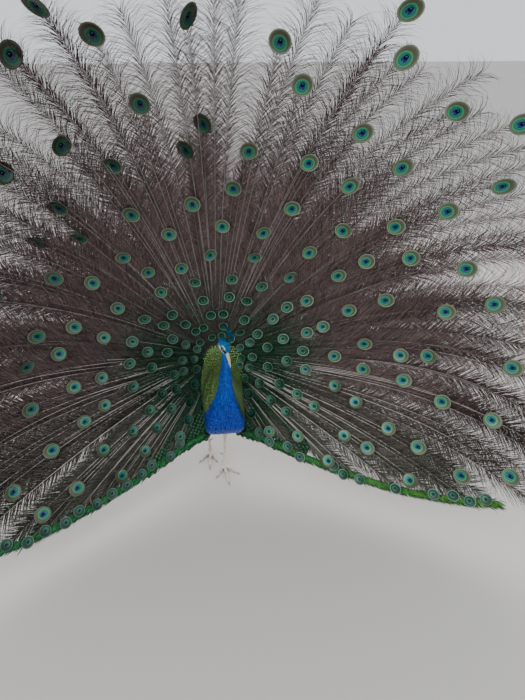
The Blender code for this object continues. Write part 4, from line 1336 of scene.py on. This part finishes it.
def barb_roots(plan, rng):
    """Feather number, distance from the root and hand, -1 or 1, of every barb of the train.

    Barbs stand wider apart near the body and far up, where they are long and lie over each other."""
    angle, length, _, _, kind = plan
    rows = []
    for n in range(len(angle)):
        up = float(ramp(np.cos(angle[n]), -0.10, 0.65))
        start = min(0.07, length[n] * 0.4) if length[n] < 0.8 else 0.26
        at, places = (0.45 if kind[n] == FISHTAIL else start), []
        while at < length[n]:
            places.append(at)
            gap = (1 - up) * np.interp(at, *BARB_GAPS) + up * np.interp(at, *BARB_GAPS_UP)
            at += sizes().barb_spacing * float(gap)
        rows.append(pairs(n, places))
    rows = np.repeat(np.concatenate(rows), 2, 0)
    hand = np.tile((-1.0, 1.0), len(rows) // 2)
    return rows[:, 0].astype(int), rows[:, 1] + rng.normal(0, 0.0006, len(rows)), hand


def above_rim(root, along, side, start, long):
    """How far each barb may turn out of its shaft's way, 0.25 to 1, and still end above the lower edge.

    It is the root's room over the edge as a share of how far the turned tip would sink towards it."""
    turn = np.radians(start + 8)
    tip = root + (along * np.cos(turn)[:, None] + side * np.sin(turn)[:, None]) * long[:, None]
    spare = above_edge(root) - 0.004
    over = spare - (above_edge(tip) - 0.004)
    return np.clip(spare / np.maximum(over, 1e-6), 0.25, 1)


def make_barbs(plan):
    """Loose barbs along both sides of every shaft, in pieces of a bearable size.

    Each is a three-sided spike that leaves the shaft at about 52° near its base and 34° near its tip, and
    bends towards the tip. High in the fan the barbs are hairs, thin and long, that set out steeply and
    then arch outwards and droop, and low at the sides they cross their neighbours'."""
    rng = np.random.default_rng(17)
    angle, length, sweep, layer, kind = plan
    which, at, hand = barb_roots(plan, rng)
    turn, full, eyed = angle[which], length[which], kind[which] != FISHTAIL
    cos, sin = np.cos(turn), np.sin(turn)
    share, left = at / full, full - at
    count = len(at)
    path = feather_path(turn, full, sweep[which], layer[which], share[:, None])
    root, along, side, normal = (x[:, 0] for x in path)
    low = ramp(cos, 0.75, 0.15)
    hair = ramp(at, 0.78, 1.05) * ramp(cos, -0.05, 0.70)
    aside = low * (1 - hair) * ramp(at, 0.60, 0.95)
    long = sizes().barb_length * (0.45 + 0.55 * ramp(at, 0.05, 0.50)) * (0.60 + 0.40 * ramp(full, 0.1, 0.9))
    # Round an eye the barbs shorten so that their tips follow its outline
    eye = eye_radius(full)
    long = np.where(eyed, np.minimum(long, eye * 1.55 + np.maximum(left - eye * 1.2, 0) * 0.62),
                    long * (0.60 + 0.40 * ramp(left, 0.0, 0.12)))
    long = long * rng.uniform(0.70, 1.12, count) * (1 + 0.25 * hair + 0.26 * aside)
    start = np.interp(share, (0, 0.6, 1), (52, 44, 34)) + rng.normal(0, 5.0, count) - 8 * hair + 6 * aside
    bend = rng.normal(20, 9, count) * (1 - hair) - hair * rng.normal(62, 20, count) - aside * 30
    lift = rng.normal(-0.022, 0.040, count)
    # Barbs thin outwards, and are stouter low on the bird's right, high in the middle and at the sides
    half = np.interp(at, (0, 0.7, 1.0, 1.3), (0.00138, 0.00126, 0.00085, 0.00065))
    half = half * (1 + 0.30 * (ramp(sin, -0.55, -0.85) * ramp(cos, 0.15, -0.15)))
    half = half * (1 + 0.18 * ramp(cos, 0.2, 0.7) * ramp(at, 0.40, 0.60))
    half = half * (1 + 0.12 * aside) * (1 + 0.22 * low * ramp(at, 0.25, 0.55)) * rng.uniform(0.8, 1.25, count)
    half = half * (1 - hair) + np.interp(at, (0.8, 1.0, 1.3), (0.00116, 0.00086, 0.00070)) * hair
    keep = above_rim(root, along, side * hand[:, None], start, long)
    start, bend = start * keep, bend * keep
    near_eye = np.where(eyed, ramp(left, 0.075, 0.030), 0)
    tint = train_colour(turn, at, share, near_eye) * rng.uniform(0.50, 1.60, (count, 1))
    tint = tint * (1 + rng.normal(0, 0.06, (count, 3)))
    # Painted light and shade: barbs on the viewer's right, the bird's left, are lighter, and those on the
    # viewer's left darker
    tint = np.clip(tint * (0.98 + 0.18 * sin)[:, None], 0, 1)
    place = dish_place(turn, at)
    finish = feather_finish("train barbs", 0.5, metallic=0.15, vary=0.2, bump=0)

    def lay(name, part, parts):
        """One piece: the chosen barbs, each a chain of straight parts that share its bend evenly."""
        step = (long[part] / parts)[:, None]
        path, ways = [root[part]], []
        for done in np.linspace(0, 1, parts):
            turned = np.radians(start[part] - bend[part] * done)
            rise = lift[part] * (0.4 + 1.2 * done)
            flat = along[part] * np.cos(turned)[:, None] + side[part] * (hand[part] * np.sin(turned))[:, None]
            ways.append(unit(flat + normal[part] * rise[:, None]))
            path.append(path[-1] + ways[-1] * step)
        across = unit(np.cross(normal[part], ways[0]))[:, None]
        width = half[part][:, None] * np.concatenate((np.linspace(1.0, 0.62, parts), (0.0,)))
        lay_tubes(name, np.stack(path, 1), across, normal[part][:, None], width, width * 0.7, tint[part],
                  place[part], finish)

    for kind_name, is_kind, pieces, parts in (
            ("barbs", hair <= 0.5, BARB_PIECES, 2), ("hairs", hair > 0.5, HAIR_PIECES, 3)):
        for n, part in enumerate(np.array_split(np.flatnonzero(is_kind), pieces)):
            lay(f"train_{kind_name}_{n + 1}", part, parts)


def eye_radius(length):
    """Half an eye spot's width on a feather of that length: small near the body."""
    share = np.interp(length, (0.10, 0.25, 0.5, 0.8, 1.25), (0.52, 0.68, 0.80, 0.93, 1.0))
    return sizes().eye_width / 2 * share


def eye_discs(centre, along, side, normal, radius):
    """Closed, cupped discs a little longer than wide: points, faces, points a disc, and each point's
    place across and along its disc and whether it is behind.

    A face's points stand in rings and lie forward by a parabola of their distance from the middle."""
    rings, columns = 5, 24
    share = np.linspace(0, 1, rings + 1)[1:]
    turn = ring_turns(columns)
    x = np.append((share[:, None] * np.cos(turn)).ravel(), 0.0)
    y = np.append((share[:, None] * np.sin(turn)).ravel(), 0.0)
    cup = 0.10 * (x * x + y * y)
    size, last, count = rings * columns + 1, (rings - 1) * columns, len(centre)

    def face_points(drop):
        """Points of one face of every disc, dropped behind the front by a share of the radius."""
        rel = (
            side[:, None] * x[None, :, None]
            + along[:, None] * (1.13 * y)[None, :, None]
            + normal[:, None] * (cup - drop)[None, :, None]
        )
        return centre[:, None] + rel * radius[:, None, None]

    at_edge = x * x + y * y > 0.98
    points = np.concatenate((face_points(0.0), face_points(np.where(at_edge, 0.0, 0.035))), 1)
    grid = grid_faces(rings, columns)
    hub = fan_faces(0, columns, size - 1)[:, (2, 0, 1)]
    k = last + np.arange(columns)
    beside = last + (k + 1) % columns
    seam = np.stack((size + k, size + beside, beside, k), -1)
    parts = (grid[:, ::-1], hub[:, ::-1], grid + size, hub + size, seam)
    faces = [repeat_faces(f, count, 2 * size) for f in parts]
    across, up, behind = (np.tile(row, count) for row in (
        np.tile(x, 2), np.tile(y, 2), np.repeat((0.0, 1.0), size)))
    return points.reshape(-1, 3), faces, 2 * size, across, up, behind


def eye_finish():
    """The eye spot's rings: a notched navy heart in turquoise and green, then bronze, then gold.

    Each goes by the distance from a centre of its own, worked out from the disc's places."""
    made, tools = new_finish("train eyes", 0.34, 0.6, Metallic=0.35)
    names = ("Across", "Up", "Behind", "Green", "Light")
    x, y, behind, green, light = (attribute(tools, name) for name in names)
    wander = noise(tools, 240.0) * 0.05 - 0.025
    streak = x.math("ARCTAN2", x, y) * 46.0 + noise(tools, 90.0) * 3.0
    # The Light attribute multiplies the barb streaks, and so the colour: it carries each disc's painted shade
    streak = (streak.math("SINE", streak) * 0.16 + 0.92) * light
    low = y + 0.16
    notch = (0.16 * (1 - x.math("ABSOLUTE", x).step(0.0, 0.10))) * (1 - y.step(-0.36, -0.10))
    small = 1 + green * 0.45
    heart = (((x * x * 0.8 + (y + 0.20) * (y + 0.20)) ** 0.5) + notch) * small
    inner = ((x * x + low * low) ** 0.5 + wander) * small
    outer = (x * x + y * y) ** 0.5 + wander
    bronze = outer.stops(
        (0.0, (0.08, 0.070, 0.035)), (0.62, (0.095, 0.095, 0.055)), (0.86, (0.120, 0.130, 0.085)),
        (0.90, (0.135, 0.19, 0.115)), (0.95, (0.135, 0.19, 0.12)), (1.0, (0.07, 0.07, 0.055)))
    leafy = outer.stops(
        (0.0, (0.010, 0.060, 0.032)), (0.62, (0.010, 0.055, 0.030)), (0.83, (0.012, 0.070, 0.040)),
        (0.89, (0.15, 0.42, 0.27)), (0.95, (0.15, 0.42, 0.28)), (1.0, (0.02, 0.10, 0.05)))
    colour = green.mix(bronze, leafy)
    for place, low, high, within in (
            (inner, 0.63, 0.67, (0.10, 0.31, 0.10)), (inner, 0.56, 0.61, (0.008, 0.36, 0.20)),
            (inner, 0.47, 0.52, (0.010, 0.12, 0.075)), (inner, 0.40, 0.46, (0.003, 0.21, 0.19)),
            (heart, 0.23, 0.27, (0.003, 0.012, 0.13))):
        colour = place.step(low, high).mix(within, colour)
    colour = behind.mix(colour, tuple(rgb("barb") * 0.8))
    return paint(made, colour.times(streak.grey()), streak, 0.4, 0.0006)


def make_train_eyes(plan):
    """The eye spots of all the eyed feathers, each on its feather's tip and facing the hollow front.

    Some of the long upper ones on the viewer's left are turned aside and given painted shade, and those at
    the sides look up."""
    rng = np.random.default_rng(18)
    angle, length, sweep, layer, kind = (x[plan[-1] != FISHTAIL] for x in plan)
    count = len(angle)
    path = feather_path(angle, length, sweep, layer, np.ones((count, 1)))
    point, along, side, normal = (x[:, 0] for x in path)
    at_rim = kind == RIM_EYED
    radius = eye_radius(length)
    radius = np.where(at_rim, np.minimum(radius, 0.0200), radius)
    turned = along * rng.normal(0, 0.10, count)[:, None] + side * rng.normal(0, 0.12, count)[:, None]
    upwards = 0.42 * ramp(np.abs(np.sin(angle)), 0.5, 0.9)
    # Long upper eyes on the viewer's left are turned aside, and below also darkened as painted shade of
    # backlit eyes
    turned_and_shaded = ramp(length, 0.60, 0.95) * ramp(-angle, -0.30, 0.05) * ramp(angle, -1.75, -1.35) * ~at_rim
    turned = turned + side * (turned_and_shaded * rng.uniform(0.35, 0.75, count) * rng.choice((-1, 1), count))[:, None]
    normal = unit(normal + turned + np.array((0, 0, 1.0)) * upwards[:, None])
    # Painted shade: eyes on the viewer's left are darker, and turned eyes darker still; small eyes and rim
    # eyes are darker too
    viewer_left_shade = 0.94 - 0.24 * ramp(-np.sin(angle), 0.1, 0.8)
    light = viewer_left_shade * (0.62 + 0.38 * ramp(length, 0.15, 0.55)) * (1 - 0.66 * turned_and_shaded)
    light = light * np.where(at_rim, 0.66, 1.0)
    side = unit(np.cross(along, normal))
    along = np.cross(normal, side)
    raised = 0.0062 + radius * 0.40 * upwards / 0.42
    point = point + normal * raised[:, None] - along * (radius * 0.25)[:, None]
    verts, faces, size, across, up, behind = eye_discs(point, along, side, normal, radius)
    green = np.repeat(np.where(at_rim, 1.0, ramp(length, 0.65, 0.20)), size)
    # Every disc's front and back has a cell of its own in a square grid on the bake map
    cells = int(math.ceil(math.sqrt(2 * count)))
    cell = np.arange(count * 2)
    corner = pairs(cell % cells, cell // cells) / cells
    local = pairs(across, up).reshape(count, 2, size // 2, 2) * 0.46 + 0.5
    bake = (corner.reshape(count, 2, 1, 2) + local / cells).reshape(-1, 2)
    obj = make_mesh("train_eyes", verts, faces, bake, Across=across, Up=up, Behind=behind, Green=green,
                    Light=np.repeat(light, size))
    finish_piece(obj, eye_finish())


def rim_line(count=120):
    """Points of both lower edges: angles, reach and the point, the ways along the edge and out of it,
    and the normal, at each."""
    half = np.radians(np.linspace(106, 166, count))
    angle = np.concatenate((-half, half))
    reach = train_reach(angle)
    point, _, _, normal = dish(angle, reach)
    tangent = unit(np.concatenate([np.gradient(part, axis=0) for part in np.split(point, 2)]))
    tangent = tangent * np.sign(dot(tangent, point - ROOT - SHIFT))
    outwards = np.cross(normal, tangent)
    outwards = outwards * -np.sign(outwards[:, 2:3])
    return angle, reach, point, tangent, outwards, normal


def rim_steps(gap):
    """The rim's points spaced evenly along both edges, as rim_line gives them."""
    halves = []
    for values in zip(*(np.split(row, 2) for row in rim_line())):
        run = np.concatenate(([0], np.cumsum(np.linalg.norm(np.diff(values[2], axis=0), axis=1))))
        at = np.arange(0, run[-1], gap)
        columns = [row.reshape(len(run), -1).T for row in values]
        halves.append([np.stack([np.interp(at, run, c) for c in part], -1) for part in columns])
    return [np.concatenate(pair).squeeze() for pair in zip(*halves)]


def make_rim():
    """The bright green lower edges: dense vanes that point outwards and down along the edge.

    A vane leaves the edge's way by about 30° and bends back to it, in four lanes of different depth."""
    rng = np.random.default_rng(19)
    lanes = 4
    rows = (np.concatenate([row] * lanes) for row in rim_steps(0.0024))
    angle, reach, point, tangent, outwards, normal = rows
    count = len(angle)
    depth = np.repeat(np.linspace(0.032, 0.012, lanes), count // lanes) + rng.normal(0, 0.0015, count)
    point = point + tangent * rng.normal(0, 0.002, count)[:, None]
    root = point - outwards * depth[:, None] + normal * (0.0015 + 0.0020 * rng.random(count))[:, None]
    turn = np.radians(rng.normal(30, 5, count))
    reach_half = (rng.uniform(0.024, 0.034, count) * 0.5)[:, None]
    rise = rng.normal(0.02, 0.03, count)[:, None]
    way = unit(tangent * np.cos(turn)[:, None] + outwards * np.sin(turn)[:, None] + normal * rise)
    middle = root + way * reach_half
    path = np.stack((root, middle, middle + unit(way + tangent * 0.35) * reach_half), 1)
    across = unit(np.cross(normal, way))[:, None]
    half = np.full((count, 1), 0.0019) * np.array((1.0, 0.85, 0.0))
    # Painted light: vanes get brighter and yellower towards the viewer's right end, the bird's left, the side
    # lit more
    far = ramp(root[:, 0] - SHIFT[0], 0.10, 0.80)
    lit = rgb("rim") * (1 + far[:, None] * np.array((2.2, 0.35, -0.3)))
    tint = blend_rgb(lit * 0.35, lit, ramp(depth, 0.010, 0.020))
    tint = blend_rgb(tint, rgb("barb_green"), ramp(depth, 0.026, 0.036) * 0.6)
    tint = tint * rng.uniform(0.5, 1.4, count)[:, None]
    tint = tint * (1 + np.array((1.6, 0.1, -0.2)) * rng.random((count, 1)) ** 2)
    finish = feather_finish("rim vanes", 0.42, metallic=0.25, vary=0.2, bump=0)
    lay_tubes("train_rim", path, across, normal[:, None], half, half * 0.3, tint,
              dish_place(angle, reach - depth), finish)


def dish_scales(name, rng, radii, gap, long, lift, keep, colour, finish):
    """Closed little scales in staggered rings on the dish, at a lift in front of it, with dark edges."""
    rows = []
    for n, radius in enumerate(radii):
        count = int(TURN * radius / gap)
        share = (np.arange(count) + 0.5 * (n % 2)) / count * 2 - 1
        rows.append(pairs(share * math.pi, radius))
    angle, radius = np.concatenate(rows).T
    angle = angle + rng.normal(0, gap * 0.08, len(angle)) / radius
    chosen = keep(angle, radius)
    angle, radius = angle[chosen], radius[chosen]
    count = len(angle)
    point, along, side, normal = dish(angle, radius)
    root = point + normal * (lift + rng.normal(0, 0.0006, count))[:, None]
    length = rng.uniform(0.85, 1.1, count) * long
    width = rng.uniform(1.15, 1.4, count) * gap
    lie, across = ruffle(rng, along, side, normal, 0.16, 0.06)
    rim = len(BROAD)
    tint = np.repeat((colour * rng.uniform(0.75, 1.25, count)[:, None])[:, None], rim + 2, 1)
    tint[:, 1:rim] = tint[:, 1:rim] * 0.06 + rgb("mantle_edge") * 0.94
    tint[:, rim] *= 2.6
    lay_scales(name, root, lie, across, length, width, 0.14, tint, dish_place(angle, radius * 4), finish,
               "scaled_plumage")


def cape_field(angle, radius):
    """Under 1 inside the golden cape: an upright oval that reaches down past the shoulders."""
    x, z = radius * np.sin(angle), radius * np.cos(angle)
    return ((x - 0.027) / 0.086) ** 2 + (z / np.where(z > 0, 0.060, 0.200)) ** 2


def make_cape():
    """Golden green scales that stand as a shield behind the neck, on a wider field of dark green ones."""
    rng = np.random.default_rng(20)

    def in_cape(angle, radius):
        """Whether places lie in the cape."""
        return (cape_field(angle, radius) < 1) & (np.abs(angle) < CAPE_LIMIT)

    def in_field(angle, radius):
        """Whether places lie on the wider field, which reaches further down than up."""
        within = 0.29 + 0.27 * ramp(-np.cos(angle), 0.35, 0.72)
        return (np.abs(angle) < CAPE_LIMIT) & (radius < train_reach(angle) - 0.022) & (radius < within)

    dish_scales("coat_cape", rng, np.arange(0.012, 0.215, 0.0092), 0.0112, 0.0150, 0.0120, in_cape,
                rgb("mantle"), feather_finish("cape scales", 0.42, metallic=0.25, vary=0.2))
    dish_scales("coat_train_root", rng, np.arange(0.040, 0.560, 0.0130), 0.0160, 0.0270, -0.0010, in_field,
                rgb("barb_green") * 0.8, feather_finish("train root scales", 0.5, metallic=0.2, vary=0.2))


# ---------------------------------------------------------------- stage


def make_stage():
    """A pale floor, a pale world, soft lights and the camera, a little above the bird's head."""
    verts = np.array(((-1, -1, 0), (1, -1, 0), (1, 1, 0), (-1, 1, 0))) * FLOOR_HALF
    verts[:, 2] = -FLOOR_DROP
    floor = make_mesh("floor", verts, [np.array(((0, 1, 2, 3),))])
    floor.data.materials.append(new_finish("pale floor", 0.8, 0.1, Base_Color=(0.62, 0.60, 0.57, 1))[0])
    scene = bpy.context.scene
    scene.world = bpy.data.worlds.new("pale studio")
    scene.world.use_nodes = True
    background = scene.world.node_tree.nodes["Background"]
    background.inputs["Color"].default_value = (0.93, 0.95, 1.0, 1)
    background.inputs["Strength"].default_value = 1.05
    # Name, place, width across, power and colour
    lights = (
        ("key light", (-1.8, -2.2, 3.2), 2.4, 45.0, (1.0, 0.97, 0.93)),
        ("fill light", (2.6, -2.4, 2.0), 3.0, 20.0, (0.93, 0.96, 1.0)),
        ("back light", (0.3, 2.8, 3.0), 3.0, 90.0, (1.0, 0.98, 0.95)),
    )
    for name, place, size, power, colour in lights:
        data = bpy.data.lights.new(name, "AREA")
        data.shape, data.size, data.energy, data.color = "DISK", size, power, colour
        lamp = bpy.data.objects.new(name, data)
        lamp.location = place
        lamp.rotation_euler = (Vector((0, 0, 0.6)) - lamp.location).to_track_quat("-Z", "Y").to_euler()
        scene.collection.objects.link(lamp)
    data = bpy.data.cameras.new("camera")
    data.lens, data.sensor_width, data.clip_start = CAMERA_LENS, 36.0, 0.05
    camera = bpy.data.objects.new("camera", data)
    camera.location = CAMERA_PLACE + SHIFT
    camera.rotation_euler = (math.radians(90 - CAMERA_PITCH), 0, math.radians(-CAMERA_YAW))
    scene.collection.objects.link(camera)
    scene.camera = camera


# ---------------------------------------------------------------- add-on


class PEACOCK_OT_skin(bpy.types.Operator):
    """Join the flesh into one skin."""

    bl_idname = "peacock.skin"
    bl_label = "Skin"

    def execute(self, context):
        make_skin()
        return {"FINISHED"}


class PEACOCK_OT_coat(bpy.types.Operator):
    """Lay the feathers of the neck, breast, back, rump and thighs."""

    bl_idname = "peacock.coat"
    bl_label = "Body plumage"

    def execute(self, context):
        make_body_coat()
        make_cape()
        return {"FINISHED"}


class PEACOCK_OT_head(bpy.types.Operator):
    """Add the head's feathers, eyes, lids, bill and crest."""

    bl_idname = "peacock.head"
    bl_label = "Head"

    def execute(self, context):
        make_head_coat()
        make_eyes()
        make_bill()
        make_crest()
        return {"FINISHED"}


class PEACOCK_OT_claws(bpy.types.Operator):
    """Give the claws and spurs their horn."""

    bl_idname = "peacock.claws"
    bl_label = "Claws"

    def execute(self, context):
        make_claws()
        return {"FINISHED"}


class PEACOCK_OT_wings(bpy.types.Operator):
    """Build the drooped wings and the tail behind the train."""

    bl_idname = "peacock.wings"
    bl_label = "Wings and tail"

    def execute(self, context):
        make_wings()
        make_tail()
        return {"FINISHED"}


class PEACOCK_OT_train(bpy.types.Operator):
    """Build the fanned train: shafts, barbs, eye spots and the green rim."""

    bl_idname = "peacock.train"
    bl_label = "Train"

    def execute(self, context):
        plan = train_plan()
        make_shafts(plan)
        make_barbs(plan)
        make_train_eyes(plan)
        make_rim()
        return {"FINISHED"}


class PEACOCK_OT_stage(bpy.types.Operator):
    """Set the floor, the lights and the camera."""

    bl_idname = "peacock.stage"
    bl_label = "Stage"

    def execute(self, context):
        make_stage()
        return {"FINISHED"}


OPERATORS = (
    PEACOCK_OT_skin, PEACOCK_OT_coat, PEACOCK_OT_head, PEACOCK_OT_claws, PEACOCK_OT_wings, PEACOCK_OT_train,
    PEACOCK_OT_stage,
)


class PEACOCK_PT_panel(bpy.types.Panel):
    """Lists the settings and the operators."""

    bl_label = "Peacock"
    bl_idname = "PEACOCK_PT_panel"
    bl_space_type = "VIEW_3D"
    bl_region_type = "UI"
    bl_category = "Peacock"

    def draw(self, context):
        for group in (context.scene.peacock_sizes, context.scene.peacock_colours):
            box = self.layout.box()
            for key in group.__annotations__:
                box.prop(group, key)
        for operator in OPERATORS:
            self.layout.operator(operator.bl_idname)


CLASSES = (PeacockSizes, PeacockColours, *OPERATORS, PEACOCK_PT_panel)


def register():
    """Registers the classes and hangs the settings on the scene."""
    for made in CLASSES:
        bpy.utils.register_class(made)
    bpy.types.Scene.peacock_sizes = PointerProperty(type=PeacockSizes)
    bpy.types.Scene.peacock_colours = PointerProperty(type=PeacockColours)


def unregister():
    """Takes the settings off the scene and unregisters the classes."""
    del bpy.types.Scene.peacock_colours
    del bpy.types.Scene.peacock_sizes
    for made in reversed(CLASSES):
        bpy.utils.unregister_class(made)


def main():
    """Registers the add-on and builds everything."""
    register()
    bpy.ops.peacock.skin()
    bpy.ops.peacock.coat()
    bpy.ops.peacock.head()
    bpy.ops.peacock.claws()
    bpy.ops.peacock.wings()
    bpy.ops.peacock.train()
    bpy.ops.peacock.stage()


if __name__ == "__main__":
    main()
